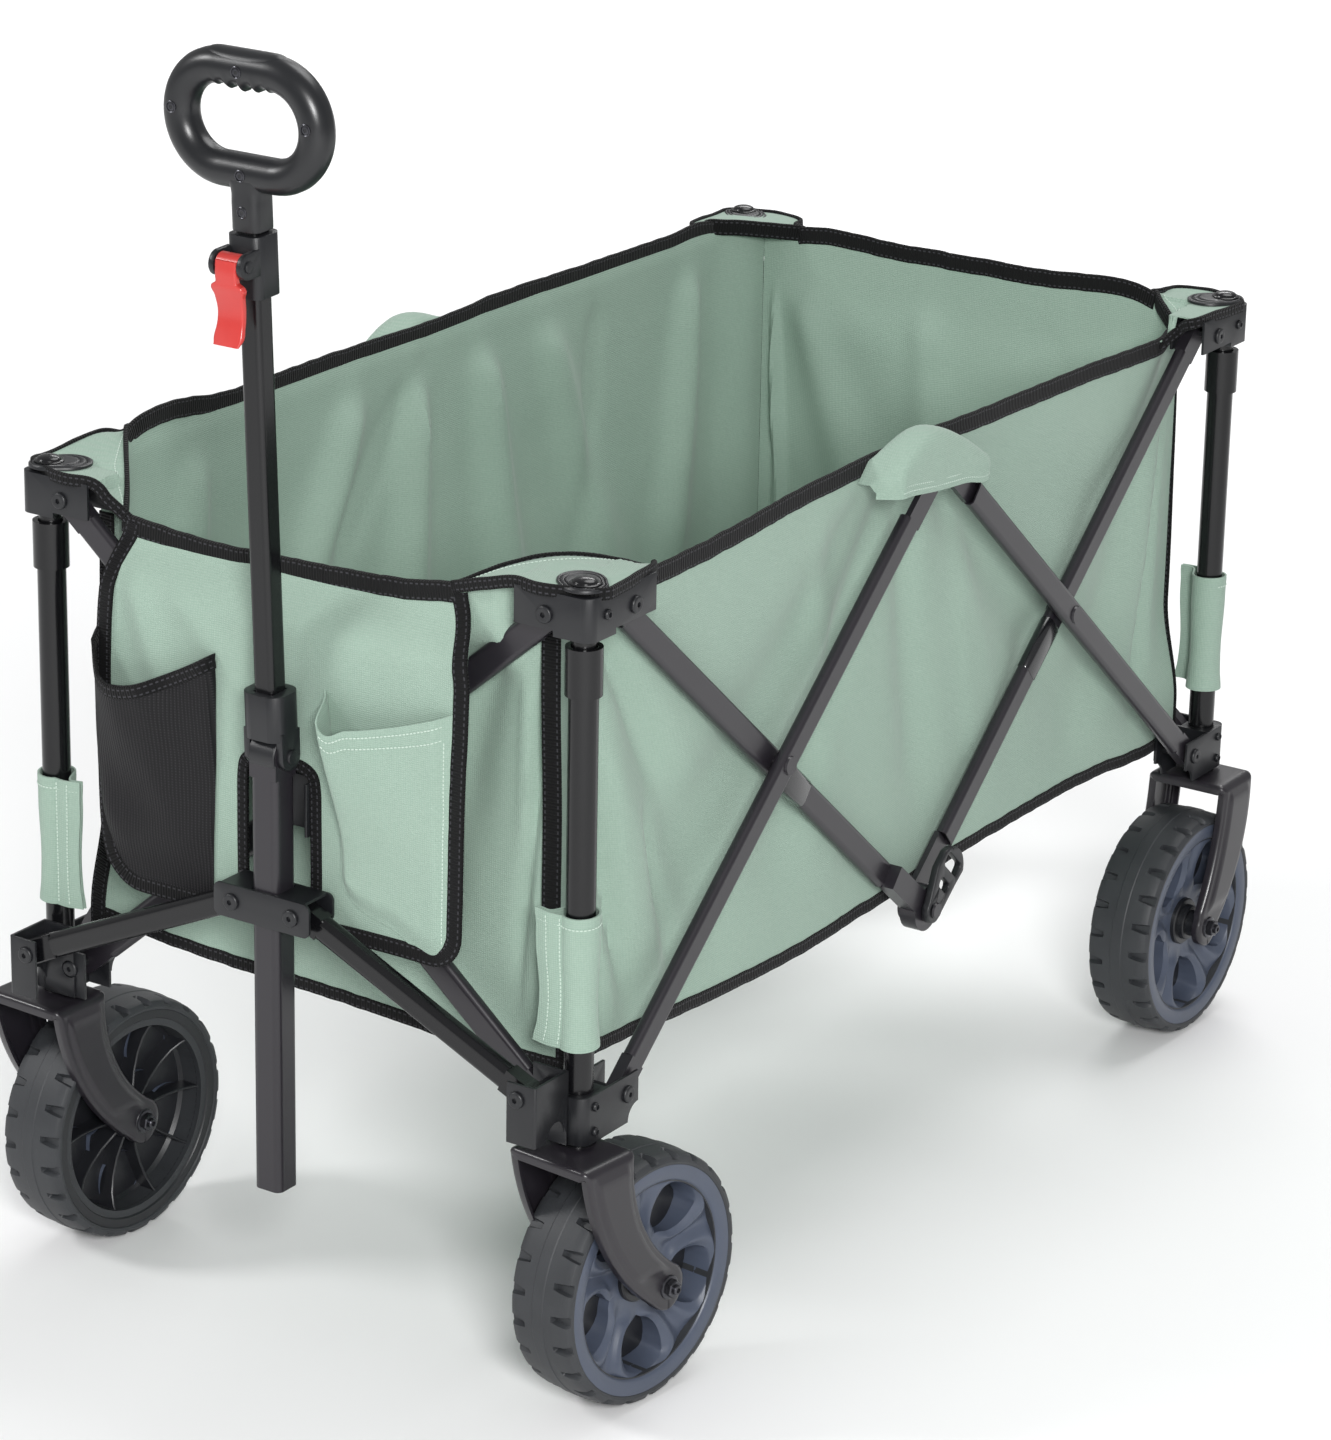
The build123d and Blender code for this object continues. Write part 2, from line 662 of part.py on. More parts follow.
def handle_grip():
    """The loop grip: a round section swept round a stadium, on a rectangular stem."""
    bottom = grip_z - loop_turn
    with BuildPart() as grip:
        with BuildSketch(pole.offset(stem_low)):
            RectangleRounded(stem_size, stem_size, 6.0)
        extrude(amount=bottom - stem_low)
        for level in (bottom, grip_z + loop_turn):
            seat = pole.from_local_coords(Vector(-loop_half, 0, level))
            with BuildSketch(Plane(origin=seat, z_dir=right)):
                Circle(grip_radius)
            extrude(amount=2 * loop_half)
        for side in (-1, 1):
            seat = pole.from_local_coords(Vector(side * loop_half, 0, bottom))
            centre = pole.from_local_coords(Vector(side * loop_half, 0, grip_z))
            with BuildSketch(Plane(origin=seat, z_dir=right)):
                Circle(grip_radius)
            revolve(axis=Axis(centre, pole.y_dir * -side), revolution_arc=180)
        with BuildSketch(pole.offset(stem_low)):
            RectangleRounded(inner_size, inner_size, 3.0)
        extrude(amount=20.0, mode=Mode.SUBTRACT)
    return [grip.part]


def mast_guide():
    """The guide plate on the front crossing, with two tabs that steady the mast from behind."""
    rivet_face = front_y - layer - bar_thick / 2 - 1.8
    tab_face = mast_y + mast_size / 2 + 0.6
    with BuildPart() as guide:
        slab((-19.0, 19.0), (rivet_face - 2, rivet_face), (cross_z - 19, cross_z + 19))
        for side in (-1, 1):
            slab((side * 17.0, side * 19.0), (tab_face, rivet_face), (cross_z - 19, cross_z + 19))
    return [guide.part]


def lock_lever():
    """The lock lever outside the right-hand bottom centre joint: a D-shaped frame on its pivot."""
    seat = Plane(origin=(post_x + 8.2, mid_y, pivot_low), x_dir=(0, cos(radians(48)), sin(radians(48))),
                 z_dir=right)
    with BuildPart() as lever:
        with BuildSketch(seat):
            Circle(10.0)
            with BuildLine():
                Polyline((0, 10), (26, 19), (40, 17))
                ThreePointArc((40, 17), (50, 0), (40, -17))
                Polyline((40, -17), (26, -14), (0, -10), (0, 10))
            make_face()
            with Locations((37, 1)):
                RectangleRounded(11.0, 24.0, 3.0, mode=Mode.SUBTRACT)
            with Locations((20, 1)):
                RectangleRounded(8.0, 15.0, 3.0, mode=Mode.SUBTRACT)
            Circle(pin_radius + running, mode=Mode.SUBTRACT)
        extrude(amount=6.0)
    return [lever.part]


# ---------------------------------------------------------------- fabric
wall_low, wall_high = 240.0, 578.0


def side_wall():
    """The right-hand fabric side and the tab sewn over its top centre joint."""
    inner = side_cloth_x - cloth / 2
    outer = side_cloth_x + cloth / 2
    tab_outer = post_x + layer + bar_thick / 2 + 5.5
    with BuildPart() as wall:
        slab((inner, outer), (mid_y - end_cloth_y + 4, mid_y + end_cloth_y - 4), (wall_low, wall_high))
        slab((outer, tab_outer), (mid_y - 26, mid_y + 26), (584.0, 586.0))
        slab((inner, outer), (mid_y - 26, mid_y + 26), (wall_high, 586.0))
        with BuildSketch(Plane(origin=(tab_outer, mid_y, 0), x_dir=(0, 1, 0), z_dir=(1, 0, 0))):
            with BuildLine():
                Polyline((-26, 586), (26, 586), (64, 556), (56, 546), (-72, 552), (-74, 562), (-26, 586))
            make_face()
        extrude(amount=-cloth)
    return [wall.part]


def end_wall(top):
    """A fabric end panel at the front, up to height top."""
    with BuildPart() as wall:
        edge = side_cloth_x - 2.5
        slab((-edge, edge), (mid_y - end_cloth_y - 1, mid_y - end_cloth_y + 1), (wall_low, top))
    return [wall.part]


def pocket_apron():
    """The front apron with its arch for the mast and its two open-topped pockets."""
    back = mid_y - 457.0
    front = mid_y - 469.5
    with BuildPart() as apron:
        slab((-150.0, 150.0), (back - cloth, back), (312.0, 566.0))
        slab((-32.0, 32.0), (back - cloth, back), (312.0, 430.0), mode=Mode.SUBTRACT)
        for low_x, high_x, high in ((-150.0, -60.0, 470.0), (42.0, 140.0, 474.0)):
            slab((low_x, high_x), (front, back - cloth), (316.0, high))
            slab((low_x + cloth, high_x - cloth), (front + cloth, back - cloth), (318.0, high),
                 mode=Mode.SUBTRACT)
    return [apron.part]


def floor_half():
    """The right-hand half of the fabric floor, from its edge seam to the middle seam."""
    with BuildPart() as base:
        slab((0.5, side_cloth_x - 2.5), (mid_y - end_cloth_y + 4, mid_y + end_cloth_y - 4),
             (floor_top - cloth, floor_top))
    return [base.part]


# ---------------------------------------------------------------- write every piece
both_sides = {"right": (), "left": (Plane.YZ,)}
both_ends = {"front": (), "rear": (frame_middle,)}

front_fork = fork(front_trail, 1, (-36, 14), ((-34, 200), (-9, 131), (38, 80)),
                  ((12, 200), (24, 143), (60, 102)), 16.0)
rear_fork = fork(rear_trail, -1, (-20, 28), ((-17, 200), (-3, 132), (36, 82)),
                 ((25, 200), (36, 146), (58, 100)), 14.5)
slack = 0.4                     # side play of each wheel in its fork
reach = fork_half - 2 * fork_sheet - slack
front_hub = hub(fork_shift - reach, fork_shift + reach)
rear_play = fork_shift - rear_wheel_shift
rear_hub = hub(rear_play - reach, rear_play + reach)
wheel_tyre = tyre()

for name, planes in corner_planes.items():
    front = name.startswith("f")
    side = 1 if name.endswith("r") else -1
    end = -1 if front else 1
    save(f"lower_post_{name}", *mirrored(lower_post(), *planes))
    save(f"upper_post_{name}", *mirrored(upper_post(), *planes))
    save(f"bottom_bracket_{name}", *mirrored(low_corner(front), *planes))
    save(f"top_bracket_{name}", *mirrored(high_corner(), *planes))

    kingpin = Location((side * post_x, mid_y + end * post_y, 0), (0, 0, caster_yaw[name]))
    hand = () if side > 0 else (Plane.YZ,)
    trail = front_trail if front else -rear_trail
    shift = 0.0 if front else rear_wheel_shift
    axle_seat = kingpin * Location((side * shift, trail, wheel_radius))
    forks = mirrored(front_fork if front else rear_fork, *hand)
    save(f"fork_{name}", *[piece.moved(kingpin) for piece in forks])
    hub_piece, tyre_piece = mirrored([front_hub if front else rear_hub, wheel_tyre], *hand)
    save(f"wheel_hub_{name}", hub_piece.moved(axle_seat))
    save(f"tyre_{name}", tyre_piece.moved(axle_seat))

right_bars = side_bars()
for side, planes in both_sides.items():
    for name, solids in right_bars.items():
        save(f"side_bar_{side}_{name}", *mirrored(solids, *planes))
    save(f"lock_lever_{side}", *mirrored(lock_lever(), *planes))
    save(f"side_wall_{side}", *mirrored(side_wall(), *planes))
    save(f"floor_{side}", *mirrored(floor_half(), *planes))
for end, planes in both_ends.items():
    for name, solids in end_bars().items():
        save(f"end_bar_{end}_{name}", *mirrored(solids, *planes))

save("lower_link_right", *lower_link())
save("lower_link_left", *mirrored(link_without_outer_eye(lower_link()), Plane.YZ))
save("mast_bracket", *mast_bracket())
save("mast_tube", *mast())
save("mast_guide", *mast_guide())
save("handle_yoke", *handle_yoke())
save("handle_outer_tube",
     square_tube(pole.offset(handle_low), handle_size, handle_wall, handle_length, 4.0))
save("lever_collar", *lever_collar())
save("cam_lever", *cam_lever())
save("handle_inner_tube",
     square_tube(pole.offset(inner_low), inner_size, 1.2, stem_low + 20 - inner_low, 3.0))
save("handle_grip", *handle_grip())

save("front_wall", *end_wall(560.0))
save("rear_wall", *mirrored(end_wall(wall_high), frame_middle))
save("pocket_apron", *pocket_apron())

# Fold geometry, printed so that the joint ratios can be checked against it
bar_length = hypot(span, pivot_high - pivot_low)
bar_angle = degrees(atan2(pivot_high - pivot_low, span))
fold_angle = 37.5
folded_span = bar_length * cos(radians(bar_angle + fold_angle))
link_run = link_outer[0] - link_inner[0]
link_rise = link_inner[1] - link_outer[1]
link_length = hypot(link_run, link_rise)
folded_run = link_run - (span - folded_span) / 2
link_turn = degrees(acos(folded_run / link_length) - atan2(link_rise, link_run))
print(f"bars {bar_length:.2f} mm at {bar_angle:.3f} deg, folded span {folded_span:.2f} mm")
print(f"links {link_length:.2f} mm, turn {link_turn:.3f} deg, ratio {link_turn / fold_angle:.5f}")
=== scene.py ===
"""Looks of a collapsible wagon: black steel scissor frame, green fabric basket, wheels and pull handle."""

import json
import logging
import math
from collections.abc import Callable, Sequence
from dataclasses import dataclass, field
from enum import Enum

import bmesh
import bpy
import numpy as np
from mathutils import Matrix, Vector, noise

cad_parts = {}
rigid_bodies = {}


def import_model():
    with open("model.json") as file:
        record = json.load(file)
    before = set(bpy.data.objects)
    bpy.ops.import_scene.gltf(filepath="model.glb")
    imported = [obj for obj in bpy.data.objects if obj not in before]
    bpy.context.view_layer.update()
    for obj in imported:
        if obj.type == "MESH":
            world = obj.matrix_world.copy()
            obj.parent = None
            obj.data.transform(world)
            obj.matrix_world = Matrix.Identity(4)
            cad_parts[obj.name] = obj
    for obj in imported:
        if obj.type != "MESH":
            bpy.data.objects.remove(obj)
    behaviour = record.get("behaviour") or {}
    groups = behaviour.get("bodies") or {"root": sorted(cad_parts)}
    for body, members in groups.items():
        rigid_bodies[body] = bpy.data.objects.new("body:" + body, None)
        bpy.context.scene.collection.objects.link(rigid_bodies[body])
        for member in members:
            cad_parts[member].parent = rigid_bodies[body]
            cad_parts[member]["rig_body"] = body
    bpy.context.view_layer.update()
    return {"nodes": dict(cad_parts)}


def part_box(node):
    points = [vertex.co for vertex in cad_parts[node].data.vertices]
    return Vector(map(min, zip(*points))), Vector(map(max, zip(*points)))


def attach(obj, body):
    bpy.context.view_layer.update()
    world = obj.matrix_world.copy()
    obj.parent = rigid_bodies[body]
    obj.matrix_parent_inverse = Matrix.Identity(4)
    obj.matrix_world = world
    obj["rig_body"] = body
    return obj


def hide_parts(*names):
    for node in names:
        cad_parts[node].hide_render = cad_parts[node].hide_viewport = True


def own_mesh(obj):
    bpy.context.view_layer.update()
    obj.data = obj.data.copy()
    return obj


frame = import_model()

log = logging.getLogger("wagon")
MM = 0.001


def middle_of(node: str, axis: int) -> float:
    """The middle of a CAD node's box along one axis, in millimetres."""
    low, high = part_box(node)
    return (low[axis] + high[axis]) / 2 / MM


# The folding frame's middle along y, and the post axes measured from it, from the CAD boxes.
MID_Y = (middle_of("lower_post_fr", 1) + middle_of("lower_post_rr", 1)) / 2
POST_X = middle_of("lower_post_fr", 0)
POST_Y = MID_Y - middle_of("lower_post_fr", 1)
MAST_Y = middle_of("mast_tube", 1) - MID_Y


class Corner(Enum):
    """A corner of the wagon: its code, its side (+1 right) and its end (+1 front)."""

    FRONT_RIGHT = ("fr", 1, 1)
    FRONT_LEFT = ("fl", -1, 1)
    REAR_RIGHT = ("rr", 1, -1)
    REAR_LEFT = ("rl", -1, -1)

    @property
    def code(self) -> str:
        """The corner's short name in the CAD."""
        return self.value[0]

    @property
    def side(self) -> int:
        """+1 on the right-hand side, -1 on the left."""
        return self.value[1]

    @property
    def end(self) -> int:
        """+1 at the front, -1 at the rear."""
        return self.value[2]


class Side(Enum):
    """A long side of the wagon."""

    RIGHT = 1
    LEFT = -1

    @property
    def word(self) -> str:
        """The side's name in the CAD."""
        return self.name.lower()


class Flatten(Enum):
    """How a soft piece would flatten when the wagon folds: axis, anchor in millimetres, share kept; nothing
    in this script applies them.
    """

    NONE = None
    ALONG = ((0, 1, 0), (0, 0, 0), 0.31)
    ACROSS = ((1, 0, 0), (200, 0, 0), 0.27)
    CORNER_RIGHT = ((1, 0, 0), (222, 0, 0), 0.4)
    CORNER_LEFT = ((1, 0, 0), (-222, 0, 0), 0.4)


# ------------------------------------------------------------------ finishes
def linear(code: str) -> tuple[float, float, float, float]:
    """Turn an sRGB hex colour to a linear one.

    Args:
        code: Six hex digits, such as "#A9C2B0".

    Returns:
        Red, green, blue and alpha in linear light.
    """
    parts = [int(code.lstrip("#")[i:i + 2], 16) / 255 for i in (0, 2, 4)]
    red, green, blue = (c / 12.92 if c <= 0.04045 else ((c + 0.055) / 1.055) ** 2.4 for c in parts)
    return red, green, blue, 1.0


def add_node(tree: bpy.types.NodeTree, kind: str, inputs: dict | None = None, **settings) -> bpy.types.Node:
    """Add a shader node with its settings and links.

    Args:
        tree: The material's node tree.
        kind: The node's type name.
        inputs: Socket name or number to a value, or to an output socket that it is linked from.
        **settings: Attributes of the node itself.

    Returns:
        The new node.
    """
    node = tree.nodes.new(kind)
    for key, value in settings.items():
        setattr(node, key, value)
    for socket, value in (inputs or {}).items():
        if isinstance(value, bpy.types.NodeSocket):
            tree.links.new(value, node.inputs[socket])
        else:
            node.inputs[socket].default_value = value
    return node


@dataclass(frozen=True)
class Finish:
    """A surface with two close tones in soft patches, and a fine grain that roughens it.

    Every size is the real one in millimetres, and a noise's scale is one over its size in metres.
    """

    name: str
    slot: str
    colour: str
    tone: str
    roughness: float
    patch_mm: float = 40.0
    grain_mm: float = 1.2
    depth_mm: float = 0.05
    metallic: float = 0.0
    coat: float = 0.0
    sheen: float = 0.0
    specular: float = 0.5

    def relief(self, tree: bpy.types.NodeTree, tint: bpy.types.NodeSocket) -> tuple:
        """Draw the surface's own pattern.

        Args:
            tree: The material's node tree.
            tint: The patchy base colour.

        Returns:
            The colour and the height sockets.
        """
        place = add_node(tree, "ShaderNodeTexCoord")
        grain = add_node(tree, "ShaderNodeTexNoise",
                         {"Vector": place.outputs["Object"], "Scale": 1 / (self.grain_mm * MM),
                          "Detail": 4.0})
        return tint, grain.outputs[0]

    def material(self) -> bpy.types.Material:
        """Build the material, or return the one built before.

        Returns:
            The material.
        """
        made = bpy.data.materials.get(self.name)
        if made:
            return made
        made = bpy.data.materials.new(self.name)
        made.use_nodes = True
        tree = made.node_tree
        tree.nodes.clear()
        place = add_node(tree, "ShaderNodeTexCoord")
        patch = add_node(tree, "ShaderNodeTexNoise",
                         {"Vector": place.outputs["Object"], "Scale": 1 / (self.patch_mm * MM),
                          "Detail": 3.0})
        tint = add_node(tree, "ShaderNodeMix",
                        {0: patch.outputs[0], 6: linear(self.colour), 7: linear(self.tone)}, data_type="RGBA")
        colour, height = self.relief(tree, tint.outputs[2])
        rough = add_node(tree, "ShaderNodeMapRange",
                         {0: patch.outputs[0], 3: self.roughness - 0.07, 4: self.roughness + 0.07})
        bump = add_node(tree, "ShaderNodeBump",
                        {"Height": height, "Distance": self.depth_mm * MM, "Strength": 1.0})
        shader = add_node(tree, "ShaderNodeBsdfPrincipled", {
            "Base Color": colour,
            "Roughness": rough.outputs[0],
            "Metallic": self.metallic,
            "Normal": bump.outputs[0],
            "Coat Weight": self.coat,
            "Coat Roughness": 0.12,
            "Sheen Weight": self.sheen,
            "Sheen Roughness": 0.4,
            "Specular IOR Level": self.specular,
        })
        add_node(tree, "ShaderNodeOutputMaterial", {"Surface": shader.outputs[0]})
        return made


@dataclass(frozen=True)
class Woven(Finish):
    """A plain cloth whose warp and weft show as fine ribs, with painted shade between the threads.

    The real threads are 0.5 mm apart, too fine to show, so they are drawn thread_mm apart.
    """

    thread_mm: float = 1.5
    # Painted shade: the darker colour that the cloth takes between the threads, where their height is low.
    gap: str = "#7B9485"

    def relief(self, tree: bpy.types.NodeTree, tint: bpy.types.NodeSocket) -> tuple:
        """Draw the crossing threads, with a wander where the yarn is uneven, and painted shade between them.

        Args:
            tree: The material's node tree.
            tint: The patchy base colour.

        Returns:
            The colour and the height sockets.
        """
        place = add_node(tree, "ShaderNodeTexCoord")
        flat = add_node(tree, "ShaderNodeMapping", {"Vector": place.outputs["Object"],
                                                    "Scale": (1.0, 1.0, 0.0)})
        # A diagonal wave of x + y repeats every 0.628 / scale metres, and a z wave every 0.314 / scale.
        warp = add_node(tree, "ShaderNodeTexWave", {
            "Vector": flat.outputs[0], "Scale": 0.628 / (self.thread_mm * MM),
            "Distortion": 1.2, "Detail": 2.0, "Detail Scale": 0.6,
        }, bands_direction="DIAGONAL")
        weft = add_node(tree, "ShaderNodeTexWave", {
            "Vector": place.outputs["Object"], "Scale": 0.314 / (self.thread_mm * MM),
            "Distortion": 1.2, "Detail": 2.0, "Detail Scale": 0.6,
        }, bands_direction="Z")
        cross = add_node(tree, "ShaderNodeMath", {0: warp.outputs[1], 1: weft.outputs[1]},
                         operation="MULTIPLY")
        slub = add_node(tree, "ShaderNodeTexNoise",
                        {"Vector": place.outputs["Object"], "Scale": 1 / (self.grain_mm * MM), "Detail": 3.0})
        height = add_node(tree, "ShaderNodeMath", {0: cross.outputs[0], 1: slub.outputs[0]}, operation="ADD")
        # Painted shade: the lower the threads' height, the more the colour is mixed toward the darker gap
        # colour.
        shade = add_node(tree, "ShaderNodeMapRange", {0: height.outputs[0], 1: 0.3, 2: 1.3, 3: 0.55, 4: 0.0})
        colour = add_node(tree, "ShaderNodeMix",
                          {0: shade.outputs[0], 6: tint, 7: linear(self.gap)}, data_type="RGBA")
        return colour.outputs[2], height.outputs[0]


@dataclass(frozen=True)
class Ribbed(Finish):
    """A grosgrain tape: ribs straight across it, and a dashed line of thread near each edge.

    It reads the distances along and across the tape, in metres, that each tape's mesh carries.
    """

    rib_mm: float = 2.2
    stitch_mm: float = 4.4
    thread: str = "#3A3A3E"

    def relief(self, tree: bpy.types.NodeTree, tint: bpy.types.NodeSocket) -> tuple:
        """Draw the ribs and the stitch lines.

        Args:
            tree: The material's node tree.
            tint: The patchy base colour.

        Returns:
            The colour and the height sockets.
        """
        along = add_node(tree, "ShaderNodeAttribute", attribute_name="along")
        inset = add_node(tree, "ShaderNodeAttribute", attribute_name="inset")
        turns = add_node(tree, "ShaderNodeMath",
                         {0: along.outputs["Fac"], 1: 2 * math.pi / (self.rib_mm * MM)}, operation="MULTIPLY")
        rib = add_node(tree, "ShaderNodeMath", {0: turns.outputs[0]}, operation="SINE")
        pulse = add_node(tree, "ShaderNodeMath",
                         {0: along.outputs["Fac"], 1: 2 * math.pi / (self.stitch_mm * MM)},
                         operation="MULTIPLY")
        dash = add_node(tree, "ShaderNodeMath", {0: pulse.outputs[0]}, operation="SINE")
        on = add_node(tree, "ShaderNodeMath", {0: dash.outputs[0], 1: -0.2}, operation="GREATER_THAN")
        line = add_node(tree, "ShaderNodeMath", {0: inset.outputs["Fac"], 1: 2.2 * MM, 2: 0.5 * MM},
                        operation="COMPARE")
        seam = add_node(tree, "ShaderNodeMath", {0: on.outputs[0], 1: line.outputs[0]}, operation="MULTIPLY")
        colour = add_node(tree, "ShaderNodeMix",
                          {0: seam.outputs[0], 6: tint, 7: linear(self.thread)}, data_type="RGBA")
        height = add_node(tree, "ShaderNodeMath", {0: seam.outputs[0], 1: 1.6, 2: rib.outputs[0]},
                          operation="MULTIPLY_ADD")
        return colour.outputs[2], height.outputs[0]


@dataclass(frozen=True)
class Knitted(Finish):
    """A stretch mesh: columns of small open eyes, the yarn between them standing up in ribs that are painted
    paler as their sheen.
    """

    column_mm: float = 2.6
    eye_mm: float = 2.0
    # Painted sheen: the near-black yarn with its sheen painted in, paler than the mesh's own black.
    yarn: str = "#29282B"

    def relief(self, tree: bpy.types.NodeTree, tint: bpy.types.NodeSocket) -> tuple:
        """Draw the columns and the eyes down them, with painted sheen on the raised yarn.

        Args:
            tree: The material's node tree.
            tint: The patchy base colour.

        Returns:
            The colour and the height sockets.
        """
        place = add_node(tree, "ShaderNodeTexCoord")
        column = add_node(tree, "ShaderNodeTexWave", {
            "Vector": place.outputs["Object"], "Scale": 0.314 / (self.column_mm * MM),
            "Distortion": 0.6, "Detail": 1.0,
        }, bands_direction="X")
        eye = add_node(tree, "ShaderNodeTexWave", {
            "Vector": place.outputs["Object"], "Scale": 0.314 / (self.eye_mm * MM),
            "Distortion": 0.8, "Detail": 1.0,
        }, bands_direction="Z")
        cell = add_node(tree, "ShaderNodeMath", {0: column.outputs[1], 1: eye.outputs[1]},
                        operation="MULTIPLY")
        # Painted sheen: the raised yarn between the eyes is mixed toward the paler colour, the eyes keep the
        # mesh's black.
        lit = add_node(tree, "ShaderNodeMapRange", {0: cell.outputs[0], 1: 0.45, 2: 0.85})
        colour = add_node(tree, "ShaderNodeMix",
                          {0: lit.outputs[0], 6: tint, 7: linear(self.yarn)}, data_type="RGBA")
        return colour.outputs[2], column.outputs[1]


# Powder-coated steel, sprayed and baked: near-black with a soft purple-grey sheen and a faint orange peel.
POWDER_COAT = Finish("powder_coated_steel_satin", "frame_steel", "#1E1C21", "#252227", 0.33,
                     patch_mm=60, grain_mm=1.6, depth_mm=0.03, coat=0.1)
# Gloss-enamelled steel, dipped: black with sharp bright streaks down the rounded corners.
ENAMEL = Finish("enamelled_steel_gloss", "frame_steel", "#0B0B0D", "#111113", 0.22,
                patch_mm=80, grain_mm=3.0, depth_mm=0.012, coat=0.0, specular=0.42)
# Glass-filled nylon, injection-moulded against a spark-eroded mould: dull black with a fine even grain.
NYLON = Finish("glass_filled_nylon_moulded", "moulded_black", "#141518", "#1B1C1F", 0.4,
               patch_mm=30, grain_mm=0.9, depth_mm=0.04)
# Polished nylon sleeve, moulded in a smooth mould: wet-looking black.
SMOOTH_NYLON = Finish("polished_nylon_moulded", "moulded_black", "#101013", "#17171A", 0.2,
                      patch_mm=25, grain_mm=2.0, depth_mm=0.01, coat=0.4)
# Soft-touch grip plastic, moulded: satin black that spreads each highlight into a wide glow.
GRIP_PLASTIC = Finish("soft_grip_plastic_moulded", "moulded_black", "#141517", "#1B1C1F", 0.33,
                      patch_mm=35, grain_mm=0.8, depth_mm=0.035)
# Slate polypropylene, moulded: blue-grey with a low waxy shine, a little paler where it has been rubbed.
POLYPROPYLENE = Finish("polypropylene_slate_moulded", "wheel_centre", "#414856", "#4B5262", 0.4,
                       patch_mm=22, grain_mm=1.1, depth_mm=0.04)
# The same polypropylene in black, inside the wheel.
BLACK_POLYPROPYLENE = Finish("polypropylene_black_moulded", "wheel_centre", "#17181B", "#202125", 0.38,
                             patch_mm=22, grain_mm=1.1, depth_mm=0.04)
# Foamed EVA tread, moulded: dull dark grey with a dusty bloom and a coarse skin.
TREAD_FOAM = Finish("foamed_eva_moulded", "tyre_rubber", "#26282B", "#35373A", 0.55,
                    patch_mm=26, grain_mm=1.4, depth_mm=0.09)
# Coated polyester, plain-woven from textured yarn: sage green with a soft bloom across the threads and
# painted shade between them.
SAGE_CLOTH = Woven("polyester_sage_woven", "green_fabric", "#93A89B", "#A0B3A6", 0.78,
                   patch_mm=120, grain_mm=1.8, depth_mm=0.22, sheen=0.12, specular=0.2)
# Polyester grosgrain, ribbed on a ribbon loom: black with a dry, corded surface.
GROSGRAIN = Ribbed("polyester_grosgrain_woven", "green_fabric", "#09090A", "#101011", 0.72,
                   patch_mm=30, depth_mm=0.3, sheen=0.03, specular=0.2)
# Warp-knitted polyester mesh: near-black eyes in upright ribs, with the ribs' sheen painted in as a paler
# colour.
POCKET_MESH = Knitted("polyester_mesh_knitted", "green_fabric", "#08080A", "#0D0C0F", 0.6,
                      patch_mm=50, depth_mm=0.35, specular=0.3)
# Spun polyester thread, paler than the cloth so each stitch reads as a bright dash.
PALE_THREAD = Finish("polyester_thread_spun", "green_fabric", "#B2C4B8", "#BDCDC2", 0.7,
                     patch_mm=6, grain_mm=0.8, depth_mm=0.1, sheen=0.2)
# Red ABS, injection-moulded in a smooth mould: bright and slightly glossy.
RED_ABS = Finish("abs_red_moulded", "red_lever", "#B4302C", "#C23A35", 0.32,
                 patch_mm=18, grain_mm=1.5, depth_mm=0.02, coat=0.2)
# Black-zinc-plated steel, turned and plated: dark metal with bright edges.
BLACK_ZINC = Finish("steel_black_zinc_plated", "frame_steel", "#3C3C40", "#55555A", 0.3,
                    patch_mm=5, grain_mm=0.9, depth_mm=0.02, metallic=0.9)
# Painted studio floor, rolled matt white.
STUDIO_PAINT = Finish("matt_emulsion_rolled", "", "#F2F2F2", "#F5F5F5", 0.9,
                      patch_mm=900, grain_mm=6.0, depth_mm=0.02, specular=0.1)


# ------------------------------------------------------------------ mesh tools
@dataclass(frozen=True)
class Curve:
    """A smooth curve of one value against another, through given points."""

    points: tuple

    def __call__(self, at: float | np.ndarray) -> np.ndarray:
        """Read the curve.

        Args:
            at: Where to read it; beyond its ends it keeps the end value.

        Returns:
            The value there.
        """
        xs, ys = np.array(sorted(self.points), float).T
        slopes = np.gradient(ys, xs)
        at = np.clip(np.asarray(at, float), xs[0], xs[-1])
        i = np.clip(np.searchsorted(xs, at) - 1, 0, len(xs) - 2)
        step = xs[i + 1] - xs[i]
        t = (at - xs[i]) / step
        return ((2 * t**3 - 3 * t**2 + 1) * ys[i] + (t**3 - 2 * t**2 + t) * step * slopes[i]
                + (3 * t**2 - 2 * t**3) * ys[i + 1] + (t**3 - t**2) * step * slopes[i + 1])


def ease(value: float | np.ndarray, low: float, high: float) -> np.ndarray:
    """A smooth step from 0 at low to 1 at high."""
    t = np.clip((np.asarray(value, float) - low) / (high - low), 0, 1)
    return t * t * (3 - 2 * t)


def unit(vectors: np.ndarray) -> np.ndarray:
    """Vectors of length one."""
    return vectors / np.maximum(np.linalg.norm(vectors, axis=-1, keepdims=True), 1e-9)


